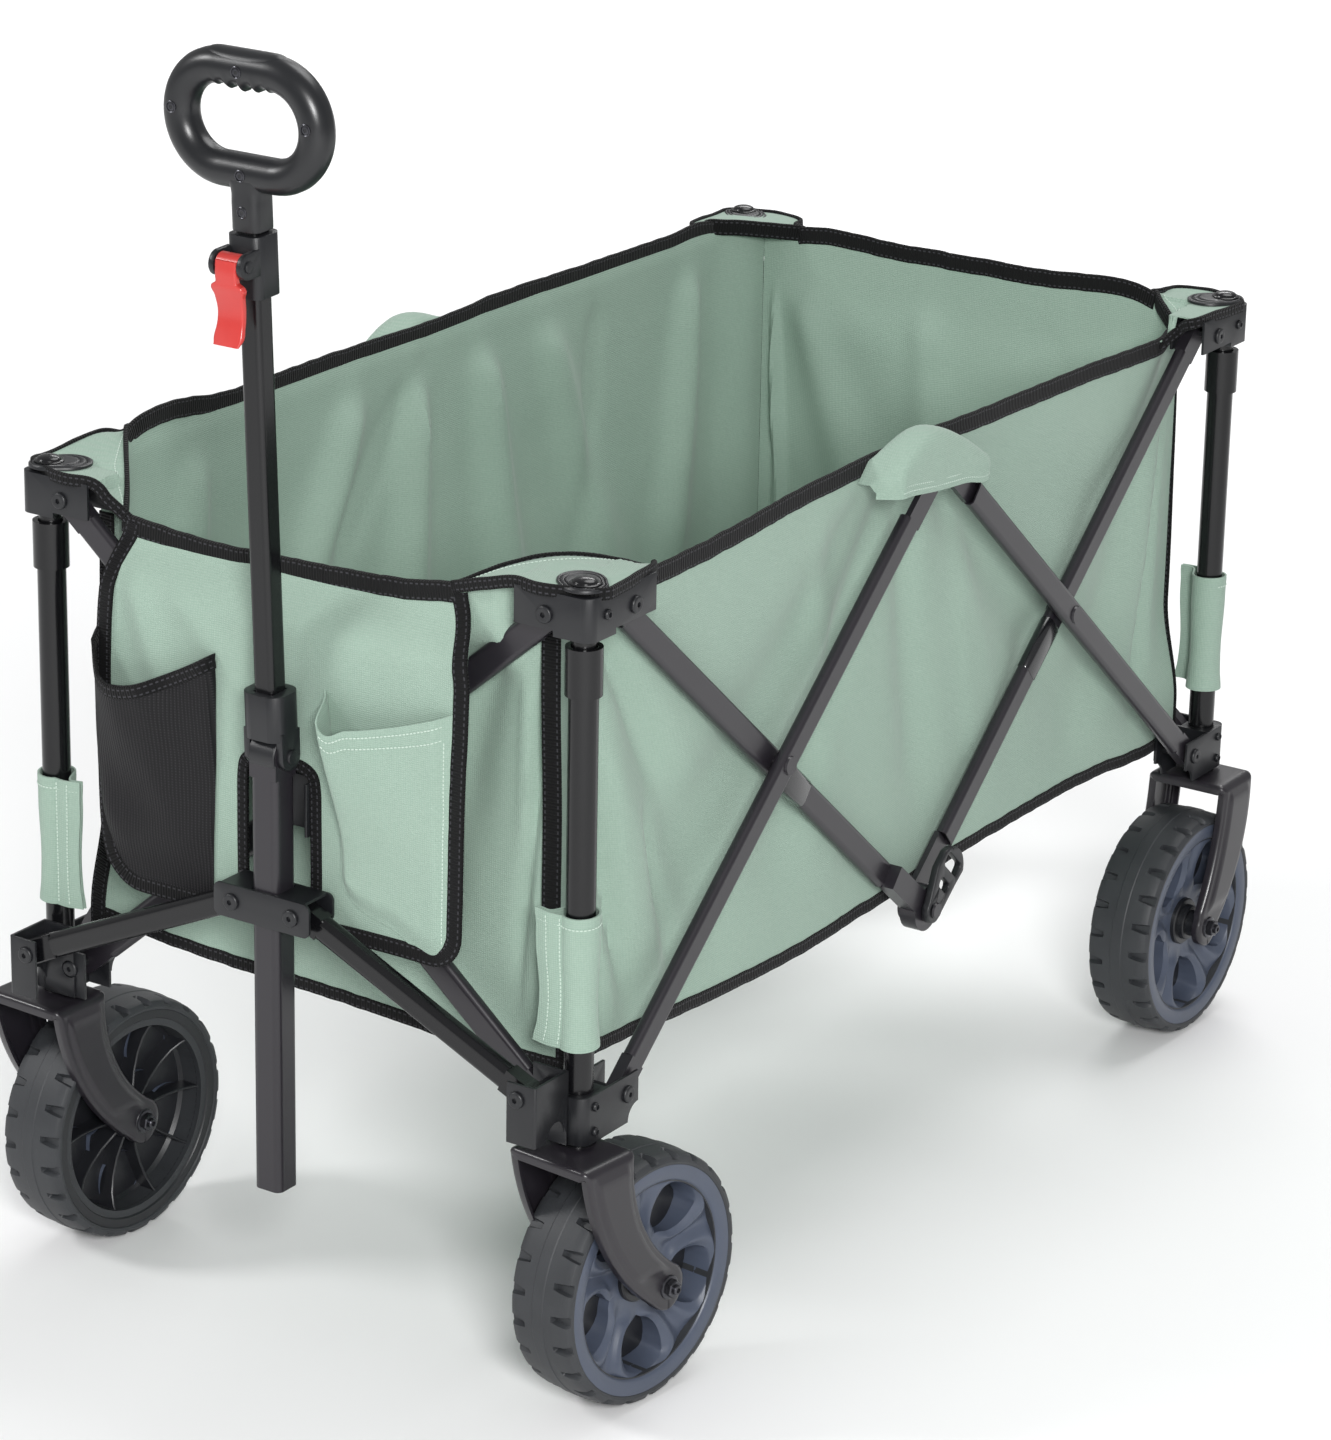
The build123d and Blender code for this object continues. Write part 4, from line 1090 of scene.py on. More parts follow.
@dataclass
class Fork:
    """A pressed-steel wheel fork, its kingpin collar and its axle nuts. Sizes are in millimetres."""

    corner: Corner
    yaw_deg: float = 0.0
    trail: float = 50.0
    lead: tuple = ((-34, 200), (-9, 131), (38, 80))
    tail: tuple = ((12, 200), (24, 143), (60, 102))
    span: tuple = (-36, 14)
    boss: float = 16.0
    shift: float = 4.5
    half: float = 34.2
    top: float = 201.8
    sheet: float = 2.4
    rib: float = 2.3
    flange: float = 6.5
    axle_height: float = 90.0

    def arc(self, points: tuple, height: float) -> float:
        """Where the arc through three points is at a height.

        Args:
            points: Three (distance, height) points.
            height: The height.

        Returns:
            The distance along the trail.
        """
        (ax, ay), (bx, by), (cx, cy) = points
        d = 2 * (ax * (by - cy) + bx * (cy - ay) + cx * (ay - by))
        ux = ((ax**2 + ay**2) * (by - cy) + (bx**2 + by**2) * (cy - ay) + (cx**2 + cy**2) * (ay - by)) / d
        uy = ((ax**2 + ay**2) * (cx - bx) + (bx**2 + by**2) * (ax - cx) + (cx**2 + cy**2) * (bx - ax)) / d
        radius = math.hypot(ax - ux, ay - uy)
        way = 1 if bx > ux else -1
        return ux + way * math.sqrt(max(radius**2 - (height - uy) ** 2, 0))

    def edges(self, height: float) -> tuple[float, float]:
        """The leg's two edges at a height.

        Args:
            height: The height.

        Returns:
            The leading and the trailing edge along the trail.
        """
        chord = math.sqrt(max(self.boss**2 - (height - self.axle_height) ** 2, 0))
        low = self.arc(self.lead, height) if height > self.lead[2][1] else self.trail - chord
        high = self.arc(self.tail, height) if height > self.tail[2][1] else self.trail + chord
        return low, high

    def body(self) -> Shell:
        """The fork as one folded sheet: two ribbed legs and the bridge over the wheel.

        Returns:
            The sheet about the kingpin, with the trail along +y.
        """
        bend = 6.0
        foot = self.axle_height - self.boss
        heights = np.concatenate([[foot + 0.05, foot + 0.8, foot + 2.2, foot + 4.5],
                                  np.linspace(foot + 8, self.top - bend, 30)])
        stations = [(-self.half, z, -1.0, 0.0, 1.0) for z in heights]
        for a in np.linspace(0, math.pi / 2, 6)[1:]:
            stations.append((-self.half + bend - bend * math.cos(a), self.top - bend + bend * math.sin(a),
                             -math.cos(a), math.sin(a), 1 - a / (math.pi / 2)))
        stations += [(x, self.top, 0.0, 1.0, 0.0) for x in np.linspace(-self.half + bend + 6, 0, 4)]
        stations += [(-x, z, -nx, nz, leg) for x, z, nx, nz, leg in reversed(stations[:-1])]
        rows = []
        for x, z, nx, nz, leg in stations:
            low, high = self.edges(z) if z < self.top - bend else self.span
            if self.top - bend <= z < self.top:
                share = ease(z, self.top - bend, self.top)
                a, b = self.edges(self.top - bend)
                low, high = a + (self.span[0] - a) * share, b + (self.span[1] - b) * share
            width = high - low
            knee = min(z, 190)
            lean = math.hypot(1, (self.edges(knee + 1)[0] - self.edges(knee - 1)[0]) / 2) if leg else 1
            lean = min(lean, 1.5)
            fit = min(1.0, width / 26)
            panel = self.rib * leg * ease(z, self.axle_height + 12, self.axle_height + 20)
            panel *= 1 - ease(z, self.top - 12, self.top - bend)
            left = []
            for inset, drop in ((0.2, -self.flange), (0.2, -2.6), (0.5, -1.0), (1.4, -0.2), (2.8, 0.0),
                                (4.6, 0.0), (6.0, 0.5 * panel), (7.2, panel), (9.5, panel)):
                left.append((inset * fit * lean, drop * (min(1.0, width / 14) if drop < 0 else 1)))
            row = [(x + nx * d, low + i, z + nz * d) for i, d in left]
            row.append((x + nx * panel, (low + high) / 2, z + nz * panel))
            row += [(x + nx * d, high - i, z + nz * d) for i, d in reversed(left)]
            rows.append(row)
        return Shell.sheet(np.array(rows), self.sheet * 0.8)

    def nut(self, way: int) -> Shell:
        """A washer, a chamfered hexagon nut and the axle's end.

        Args:
            way: +1 for the outboard side, -1 for the inboard.

        Returns:
            The three as one shell, at the axle's height.
        """
        seat = self.half + 1.0
        washer = Shell.revolved([(seat, 0.2), (seat, 8.6), (seat + 1.0, 8.4), (seat + 1.3, 7.8),
                                 (seat + 1.3, 0.2)], 32)
        rows = []
        for x, radius in ((seat + 1.2, 6.0), (seat + 1.6, 6.7), (seat + 5.2, 6.7), (seat + 5.9, 5.9)):
            rows.append([(x, radius * math.cos(a), radius * math.sin(a))
                         for a in np.linspace(0, 2 * math.pi, 6, endpoint=False) + 0.3])
        hexagon = Shell.grid(np.array(rows), wrap_columns=True, caps=True)
        stud = Shell.revolved([(seat, 0.3), (seat, 3.6), (seat + 7.6, 3.6), (seat + 8.2, 3.0),
                               (seat + 8.2, 1.8), (seat + 6.8, 1.6), (seat + 6.8, 0.3)], 24)
        at = Matrix.Translation((0, self.trail, self.axle_height)) @ Matrix.Scale(way, 4, (1, 0, 0))
        return Shell.joined([part.moved(at) for part in (washer, hexagon, stud)])

    def build(self) -> None:
        """Build the fork's pieces, and let them stand for its CAD node."""
        code = self.corner.code
        front = self.corner.end > 0
        body = f"caster_{code}" if front else f"base_{code}"
        kingpin = Matrix.Translation((self.corner.side * POST_X, -self.corner.end * POST_Y, 0))
        turn = Matrix.Rotation(math.radians(self.yaw_deg), 4, "Z")
        hand = Matrix.Scale(self.corner.side, 4, (1, 0, 0)) @ Matrix.Scale(1 if front else -1, 4, (0, 1, 0))
        at = kingpin @ turn @ hand
        off = at @ Matrix.Translation((self.shift, 0, 0))
        legs = make_piece(f"fork_pressing_{code}", self.body().moved(off), POWDER_COAT, body, sharp_deg=50)
        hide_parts(f"fork_{code}")
        upright = Matrix.Rotation(math.radians(-90), 4, "Y")
        collar = Shell.revolved([(202.0, 0.3), (202.0, 12.5), (203.6, 12.4), (204.4, 11.2), (205.7, 11.0),
                                 (205.7, 0.3)], 40)
        make_piece(f"kingpin_collar_{code}", collar.moved(at @ upright), ENAMEL, body)
        nuts = Shell.joined([self.nut(1), self.nut(-1)])
        axle = Shell.revolved([(-self.half, 0.2), (-self.half, 4.0), (self.half, 4.0), (self.half, 0.2)], 24)
        axle = axle.moved(Matrix.Translation((0, self.trail, self.axle_height)))
        make_piece(f"axle_bolt_{code}", Shell.joined([nuts, axle]).moved(off), BLACK_ZINC, body)
        log.info("fork %s built", code)


# ------------------------------------------------------------------ pull handle
@dataclass
class PullHandle:
    """The loop grip, the cam lever and the handle's collars. Sizes are in millimetres."""

    hinge: float = 440.0
    lean_deg: float = 2.4
    loop_height: float = 429.6
    bend: float = 33.5
    straight: float = 20.2
    grip_radius: float = 11.8
    stem: float = 22.0
    stem_low: float = 359.0
    scallops: int = 4
    scallop_pitch: float = 11.0
    scallop_depth: float = 4.2
    lever_seat: tuple = (-22.0, 341.0)

    def pole(self) -> Matrix:
        """The leaning handle's own axes, standing on its hinge."""
        return Matrix.Translation((0, MAST_Y, self.hinge)) @ Matrix.Rotation(math.radians(self.lean_deg), 4,
                                                                             "X")

    def loop_line(self, count: int = 150) -> tuple[np.ndarray, np.ndarray]:
        """The loop's centre line, from the middle of its lower bar.

        Args:
            count: Number of points.

        Returns:
            The points, and the outward direction at each.
        """
        arc = math.pi * self.bend
        total = 4 * self.straight + 2 * arc
        points, outward = [], []
        for s in np.linspace(0, total, count, endpoint=False):
            s = (s + total) % total
            if s < self.straight:
                points.append((s, 0, -self.bend))
                outward.append((0, 0, -1))
            elif s < self.straight + arc:
                a = -math.pi / 2 + (s - self.straight) / self.bend
                points.append((self.straight + self.bend * math.cos(a), 0, self.bend * math.sin(a)))
                outward.append((math.cos(a), 0, math.sin(a)))
            elif s < 3 * self.straight + arc:
                points.append((2 * self.straight + arc - s, 0, self.bend))
                outward.append((0, 0, 1))
            elif s < 3 * self.straight + 2 * arc:
                a = math.pi / 2 + (s - 3 * self.straight - arc) / self.bend
                points.append((-self.straight + self.bend * math.cos(a), 0, self.bend * math.sin(a)))
                outward.append((math.cos(a), 0, math.sin(a)))
            else:
                points.append((s - total, 0, -self.bend))
                outward.append((0, 0, -1))
        return np.array(points) + (0, 0, self.loop_height), np.array(outward)

    def loop(self) -> Shell:
        """The loop, scalloped for the fingers under its top bar, with a fine parting groove.

        Returns:
            The loop in the pole's axes.
        """
        line, outward = self.loop_line(220)
        turns = np.linspace(0, 2 * math.pi, 36, endpoint=False)
        rows = []
        for p, out in zip(line, outward):
            row = []
            top = p[2] > self.loop_height
            for a in turns:
                inward = max(0.0, -math.cos(a))
                radius = self.grip_radius
                reach = self.scallop_pitch * self.scallops / 2
                if top and abs(p[0]) < reach:
                    wave = abs(math.sin(math.pi * (p[0] + reach) / self.scallop_pitch)) ** 0.8
                    radius -= self.scallop_depth * (wave - 0.35) * inward**2 * ease(reach - abs(p[0]), 0, 3)
                if top and abs(p[0]) < reach + 4:
                    radius += 1.4 * inward**2 * ease(reach + 4 - abs(p[0]), 0, 8)
                if abs(math.sin(a)) < 0.01:
                    radius -= 0.35
                row.append(p + out * radius * math.cos(a) + np.array((0, 1, 0)) * radius * math.sin(a))
            rows.append(row)
        return Shell.grid(np.array(rows), wrap_rows=True, wrap_columns=True)

    def neck(self) -> Shell:
        """The square stem, which flares into the loop's lower bar.

        Returns:
            The stem in the pole's axes.
        """
        stations = ((self.stem_low, 21.4, 21.4, 5.6), (self.stem_low + 0.8, 22, 22, 6), (378, 22, 22, 6),
                    (383, 22.6, 22, 7), (387, 25, 22.2, 8), (390, 29, 22.4, 9), (393, 36, 22.4, 10),
                    (397, 46, 21, 10))
        rows = [[(x, y, z) for x, y in rounded_section(w, d, r, 6)] for z, w, d, r in stations]
        return Shell.grid(np.array(rows), wrap_columns=True, caps=True)

    def thumb_pad(self) -> Shell:
        """The lens-shaped pad let into the top of the loop.

        Returns:
            The pad in the pole's axes.
        """
        rows = []
        for x in np.linspace(-31, 31, 33):
            half = math.radians(52) * math.sqrt(max(0.0, 1 - (x / 31.2) ** 2))
            drop = -(abs(x) - self.straight) ** 2 / (2 * self.bend) if abs(x) > self.straight else 0.0
            row = []
            for t in np.linspace(-1, 1, 13):
                a = half * t
                radius = self.grip_radius + 0.75 * (1 - t**4) * ease(31 - abs(x), 0, 5) - 0.2
                row.append((x, radius * math.sin(a),
                            self.loop_height + self.bend + radius * math.cos(a) + drop))
            rows.append(row)
        return Shell.sheet(np.array(rows), 0.5)

    def screw(self, x: float, y: float, z: float) -> Shell:
        """A countersunk hexagon-socket screw that faces the user.

        Args:
            x: Its place across the grip.
            y: The grip's surface there.
            z: Its height along the pole.

        Returns:
            The screw in the pole's axes.
        """
        ring = Shell.revolved([(-0.8, 2.5), (-0.8, 4.0), (0.3, 4.0), (0.55, 3.6), (0.3, 3.2), (-0.5, 3.0)],
                              28)
        head = Shell.revolved([(-1.2, 1.2), (-1.2, 2.9), (0.0, 2.7), (0.2, 2.2), (0.1, 1.3), (-0.9, 1.1)], 24)
        at = Matrix.Translation((x, y, z)) @ Matrix.Rotation(math.radians(-90), 4, "Z")
        return Shell.joined([ring.moved(at), head.moved(at)])

    def lever(self) -> Shell:
        """The cam lever: a barrel on its pin, and a waved paddle with a step on each side.

        Returns:
            The lever in the pole's axes.
        """
        y0, z0 = self.lever_seat
        barrel = Shell.revolved([(-9.0, 2.6), (-9.0, 6.8), (-8.4, 7.5), (8.4, 7.5), (9.0, 6.8), (9.0, 2.6)],
                                48)
        barrel = barrel.moved(Matrix.Translation((0, y0, z0)))
        fall = Curve(((4, -6.3), (-4, -7.3), (-12, -6.8), (-20, -5.0), (-30, -3.4), (-38, -4.2), (-45, -6.6),
                      (-51.5, -9.4)))
        width = Curve(((4, 17), (-8, 17.2), (-10.5, 17.6), (-12.5, 24), (-20, 22.6), (-30, 21.0), (-40, 21.6),
                       (-48, 22.4), (-51.5, 20.0)))
        deep = Curve(((4, 3.0), (-8, 5.6), (-20, 5.4), (-40, 4.6), (-49, 4.0), (-51.5, 2.0)))
        rows = []
        for s in np.concatenate([np.linspace(4, -9, 7), [-10, -11, -12, -13], np.linspace(-15, -47, 17),
                                 [-48.5, -50, -51, -51.5]]):
            w, d = float(width(s)), float(deep(s))
            rows.append([(x, y0 + float(fall(s)) + d / 2 + y - 1.5, z0 + s)
                         for x, y in rounded_section(w, d, min(1.8, d / 2 - 0.05), 5)])
        return Shell.joined([barrel, Shell.grid(np.array(rows), wrap_columns=True, caps=True)])

    def build(self) -> None:
        """Build the handle's pieces and dress its tubes."""
        at = self.pole()
        grip = make_piece("grip_loop_moulding", self.loop().moved(at), GRIP_PLASTIC, "handle_slider",
                          sharp_deg=60)
        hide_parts("handle_grip")
        make_piece("grip_stem", self.neck().moved(at), GRIP_PLASTIC, "handle_slider", sharp_deg=50)
        make_piece("grip_thumb_pad", self.thumb_pad().moved(at), GRIP_PLASTIC, "handle_slider", sharp_deg=50)
        face = -self.grip_radius
        for name, x, y, z in (("top", 0, face, self.loop_height + self.bend),
                              ("left", -53.4, face, self.loop_height + 4),
                              ("right", 53.4, face, self.loop_height + 4),
                              ("bottom", 0, face, self.loop_height - self.bend),
                              ("stem", 0, -self.stem / 2, 372)):
            make_piece(f"grip_screw_{name}", self.screw(x, y, z).moved(at), BLACK_ZINC, "handle_slider")
        lever = make_piece("cam_lever_moulding", self.lever().moved(at), RED_ABS, "lever", sharp_deg=40)
        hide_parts("cam_lever")
        drum = Shell.revolved([(-10.6, 1.0), (-10.6, 12.2), (-9.9, 12.9), (9.9, 12.9), (10.6, 12.2),
                               (10.6, 1.0)], 48)
        make_piece("mast_knuckle_drum", drum.moved(Matrix.Translation((0, MAST_Y, self.hinge))), NYLON,
                   "mast")
        soften("handle_yoke", "hinge_collar", NYLON, 1.4)
        soften("lever_collar", "lever_sleeve", NYLON, 1.2)
        for node in ("handle_outer_tube", "handle_inner_tube"):
            paint(node, ENAMEL)
        paint("mast_tube", POWDER_COAT)
        log.info("pull handle built")


# ------------------------------------------------------------------ fabric
@dataclass(frozen=True)
class Crease:
    """A soft fold in a cloth, from one point of it to another. Sizes are in millimetres."""

    start: tuple
    stop: tuple
    width: float
    depth: float

    def __call__(self, across: np.ndarray, up: np.ndarray) -> np.ndarray:
        """How far the fold pushes the cloth out.

        Args:
            across: Places along the panel.
            up: Heights.

        Returns:
            The push at each place.
        """
        (a, b), (c, d) = self.start, self.stop
        length = math.hypot(c - a, d - b)
        ux, uy = (c - a) / length, (d - b) / length
        t = ((across - a) * ux + (up - b) * uy) / length
        off = (across - a) * -uy + (up - b) * ux
        fade = ease(t, -0.12, 0.2) * (1 - ease(t, 0.7, 1.12))
        spread = self.width * (0.55 + 0.75 * np.clip(t, 0, 1))
        return self.depth * np.exp(-((off / spread) ** 2)) * fade


@dataclass(frozen=True)
class Cut:
    """The size a cloth was cut to, in metres, and how it is held."""

    width: float
    length: float
    area: float | None = None
    held: str = "stretched"


@dataclass
class Basket:
    """The fabric walls, floor, rim, corner gussets and seams. Sizes are in millimetres."""

    side_x: float = 204.0
    end_y: float = 419.5
    side_half: float = 415.0
    end_half: float = 203.0
    cloth: float = 1.2
    tape: float = 14.0
    tape_depth: float = 3.2
    hem: float = 10.0
    draw: tuple = (262, 345)
    corner_pull: float = 14.0
    bracket_clear: float = 587.0
    gusset_area: dict = field(default_factory=lambda: {"fr": 0.0085, "fl": 0.006, "rr": 0.005, "rl": 0.006})
    skirt: Curve = Curve(((-415, 248), (-367, 246), (-269, 238), (-140, 232), (-31, 235), (142, 239),
                          (297, 236), (379, 229), (415, 231)))
    end_skirt: Curve = Curve(((-203, 257), (-120, 250), (0, 246), (110, 241), (203, 240)))
    front_rim: Curve = Curve(((-203, 574), (-178, 572), (-152, 566), (-120, 563), (-88, 561), (-4, 562),
                              (78, 566), (124, 571.5), (170, 575), (203, 575)))
    rear_rim: Curve = Curve(((-203, 578), (-180, 582), (-158, 588), (-60, 589), (60, 589), (168, 588),
                             (190, 580), (203, 575)))
    right_rim: Curve = Curve(((-415, 574), (-374, 573), (-338, 571), (-281, 571), (-157, 578), (-26, 581),
                              (114, 577), (264, 574), (350, 570), (392, 569), (415, 568)))
    left_rim: Curve = Curve(((-415, 577), (-395, 588), (-372, 600), (-250, 600), (-130, 600.5), (0, 598.5),
                             (60, 601), (190, 599), (300, 598), (366, 597), (392, 588), (415, 577)))
    corners: dict = field(default_factory=lambda: {
        Corner.FRONT_RIGHT: ((124, -440, 571.5), (205.2, -338, 571), 14),
        Corner.FRONT_LEFT: ((152, -440, 566), (206.4, -372, 600), 3),
        Corner.REAR_RIGHT: ((168, -422.5, 588), (205.2, -392, 569), 1),
        Corner.REAR_LEFT: ((158, -422.5, 588), (206.4, -366, 597), 1),
    })
    right_creases: tuple = (
        Crease((-402, 500), (-352, 262), 9, -13.0), Crease((-412, 470), (-385, 250), 7, -10.0),
        Crease((-385, 545), (-300, 400), 12, -8.0), Crease((402, 520), (350, 262), 10, -12.0),
        Crease((-330, 400), (-290, 250), 12, -9.0),
        Crease((-20, 566), (-190, 300), 24, -10.4), Crease((-50, 560), (-330, 330), 30, -7.6),
        Crease((-20, 560), (30, 270), 22, -8.5), Crease((10, 566), (270, 290), 28, -9.5),
        Crease((30, 566), (370, 420), 30, -6.6), Crease((-395, 560), (-230, 250), 26, -8.5),
        Crease((-390, 470), (-300, 250), 20, 4.2), Crease((390, 560), (240, 260), 30, -8.5),
        Crease((60, 540), (130, 250), 20, 4.6), Crease((-120, 540), (-110, 250), 22, 4.2),
    )
    left_creases: tuple = (
        Crease((-40, 575), (-60, 290), 21, -16.6), Crease((-110, 580), (-230, 300), 24, -14.2),
        Crease((40, 580), (90, 280), 22, -16.6), Crease((-20, 585), (-170, 420), 18, 6.1),
        Crease((120, 580), (240, 280), 24, -13.0), Crease((-300, 575), (-330, 280), 21, -11.9),
        Crease((330, 575), (300, 280), 21, -14.2), Crease((200, 580), (170, 320), 16, 5.8),
    )
    end_creases: tuple = (
        Crease((178, 540), (162, 290), 6, -9.0), Crease((164, 500), (172, 260), 7, 5.0),
        Crease((-178, 530), (-164, 280), 6, -9.0), Crease((186, 470), (178, 260), 5, -7.0),
        Crease((-160, 560), (-60, 280), 24, -9.5), Crease((150, 565), (70, 280), 24, -9.5),
        Crease((-40, 575), (-10, 300), 22, -7.6), Crease((60, 575), (120, 330), 20, 3.8),
        Crease((-190, 430), (-120, 250), 18, 3.8),
    )

    def side_cloth(self, side: Side, y: np.ndarray, z: np.ndarray) -> np.ndarray:
        """How far a side wall stands from the middle plane.

        Args:
            side: Which side.
            y: Places along it.
            z: Heights.

        Returns:
            The distance at each place, clear of the scissor bars outside it.
        """
        creases = self.right_creases if side is Side.RIGHT else self.left_creases
        push = sum(crease(y, z) for crease in creases)
        points = np.stack(np.broadcast_arrays(0.0 * y, y, z), axis=-1)
        push = push + 1.6 * ripple(points, 95, 3.0 * side.value) + 0.5 * ripple(points, 34, 9.0 * side.value)
        hold = ease(self.side_half - np.abs(y), 0, 40) * ease(z, 235, 275) * (1 - 0.75 * ease(z, 545, 572))
        lean = 2.2 * ease(z, 584, 594)
        drawn = self.corner_pull * ease(np.abs(y), 362, self.side_half) * ease(z, *self.draw)
        return np.clip(self.side_x + push * hold, 178, 206.6) + lean - drawn

    def end_cloth(self, x: np.ndarray, z: np.ndarray, front: bool) -> np.ndarray:
        """How far an end wall stands from the frame's middle.

        Args:
            x: Places across it.
            z: Heights.
            front: Whether it is the front wall, whose rim leans out over the end bars.

        Returns:
            The distance at each place.
        """
        push = sum(crease(x, z) for crease in self.end_creases)
        points = np.stack(np.broadcast_arrays(x, 0.0 * x, z), axis=-1)
        push = push + 1.5 * ripple(points, 90, 5.0 if front else 7.0)
        hold = ease(189 - np.abs(x), 1, 14) * ease(z, 240, 280) * (1 - 0.9 * ease(z, 515, 552))
        out = np.clip(self.end_y + push * hold, 400, 420.6)
        lean = (1 - ease(np.abs(x), 150, 176)) * ease(z, 500, 545)
        return out + (19.0 if front else 3.0) * lean

    def wall(self, side: Side) -> bpy.types.Object:
        """A side wall.

        Args:
            side: Which side.

        Returns:
            The cloth.
        """
        rim = self.right_rim if side is Side.RIGHT else self.left_rim
        y = np.linspace(-419.3, 419.3, 150)
        share = np.linspace(0, 1, 56)
        low, high = self.skirt(y), rim(y)
        z = low + (high - low) * share[:, None]
        y = np.broadcast_to(y, z.shape)
        grid = np.stack([self.side_cloth(side, y, z), y, z], axis=-1)
        made = make_piece(f"side_cloth_{side.word}", Shell.sheet(grid, self.cloth), SAGE_CLOTH,
                          f"fabric_{side.word}", side.value, flatten=Flatten.ALONG)
        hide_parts(f"side_wall_{side.word}")
        return made

    def side_tapes(self, side: Side) -> list[bpy.types.Object]:
        """The rim tape, the skirt tape and the two upright seam tapes of a side wall.

        Args:
            side: Which side.

        Returns:
            The tapes.
        """
        rim = self.right_rim if side is Side.RIGHT else self.left_rim
        made = []
        front, rear = (self.corners[corner][1][1] for corner in Corner if corner.side == side.value)
        for label, edge, drop, width, reach in (("rim", rim, -5.5, self.tape, (front - 1, 1 - rear)),
                                                ("skirt", self.skirt, 3.5, self.hem, (-412, 412))):
            y = np.linspace(*reach, 260)
            z = edge(y) + drop
            path = np.stack([self.side_cloth(side, y, z) + 0.2, y, z], axis=-1)
            path[:, 2] += 0.7 * ripple(path, 16, 2.0) + 0.3 * ripple(path, 6, 4.0)
            made.append(make_tape(f"{label}_tape_{side.word}", path, (0, 0, 1), (width, self.tape_depth),
                                  f"fabric_{side.word}", side.value, flatten=Flatten.ALONG))
        for label, end in (("front", 1), ("rear", -1)):
            z = np.linspace(242, 557, 120)
            x = 199.5 - (self.corner_pull - 1.5) * ease(z, *self.draw) - 2.5 * ease(z, 380, 557)
            path = np.stack([x, -420.9 + 0.3 * np.sin(z / 21), z], axis=-1)
            made.append(make_tape(f"seam_tape_{side.word}_{label}", path, (1, 0.12, 0), (self.tape, 2.2),
                                  f"fabric_{side.word}", side.value, end, Flatten.ALONG))
        return made

    def tab(self, side: Side) -> list[bpy.types.Object]:
        """The half-leaf tab that hangs over a side's top joint, with its stitched edge.

        Args:
            side: Which side.

        Returns:
            The tab and its stitches.
        """
        upper = Curve(((-80, 566), (-66, 579), (-46, 590), (-24, 595), (0, 590), (20, 581), (44, 567),
                       (64, 555)))
        lower = Curve(((-80, 557), (-62, 556.5), (-20, 551), (20, 547), (52, 542.5), (64, 547)))
        rim = self.right_rim if side is Side.RIGHT else self.left_rim
        lift = 0.0 if side is Side.RIGHT else 8.0
        rows, edge, seam = [], [], []
        for y in np.linspace(-80, 64, 66):
            top, foot = float(upper(y)) + lift, float(lower(y)) + 0.5 * lift
            start = min(float(rim(y)) - 2, top - 0.5)
            swell = 0.5 + 0.5 * ease(72 - abs(y + 8), 0, 30)
            reach = 212 + 23.6 * ease(80 - abs(y + 8), -2, 22)
            bend = [(206.5, start), (209, start + (top - start) * 0.62),
                    (207 + 0.33 * (reach - 207), top - 0.4),
                    (207 + 0.66 * (reach - 207), top - 0.3), (reach - 1.6, top - 3.4),
                    (reach, top - 9 * swell), (reach + 0.5, (top + foot) / 2), (reach - 0.1, foot)]
            line = even_path([(x, y, z) for x, z in bend], 1.0)
            pick = np.linspace(0, len(line) - 1, 26)
            row = read_path(line, np.arange(len(line)), pick)
            row[:, 0] += 0.6 * ripple(row, 20, 6.0)
            rows.append(row)
            edge.append(row[-1] + (0.75, 0, 4.0))
            seam.append(row[-1] + (0.75, 0, 8.0))
        body = f"fabric_{side.word}"
        cloth = make_piece(f"joint_tab_{side.word}", Shell.sheet(np.array(rows), 1.6), SAGE_CLOTH, body,
                           side.value, flatten=Flatten.ALONG)
        threads = [stitches(f"joint_tab_stitch_{k}_{side.word}", np.array(line[3:-3]), (1, 0, 0), body,
                            side.value, flatten=Flatten.ALONG) for k, line in (("low", edge), ("high", seam))]
        return [cloth, *threads]

    def end_wall(self, front: bool) -> bpy.types.Object:
        """The front or rear wall.

        Args:
            front: Whether it is the front one.

        Returns:
            The cloth.
        """
        rim = self.front_rim if front else self.rear_rim
        x = np.linspace(-self.end_half, self.end_half, 130)
        share = np.linspace(0, 1, 60)
        low, high = self.end_skirt(x), rim(x)
        z = low + (high - low) * share[:, None]
        x = x * (1 - self.corner_pull / self.end_half * ease(z, *self.draw) * ease(np.abs(x), 120,
                                                                                   self.end_half))
        grid = np.stack([x, -self.end_cloth(x, z, front), z], axis=-1)
        word, body = ("front", "top_fr") if front else ("rear", "top_rr")
        made = make_piece(f"end_cloth_{word}", Shell.sheet(grid, self.cloth), SAGE_CLOTH, body,
                          1, 1 if front else -1, flatten=Flatten.ACROSS)
        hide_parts(f"{word}_wall")
        return made

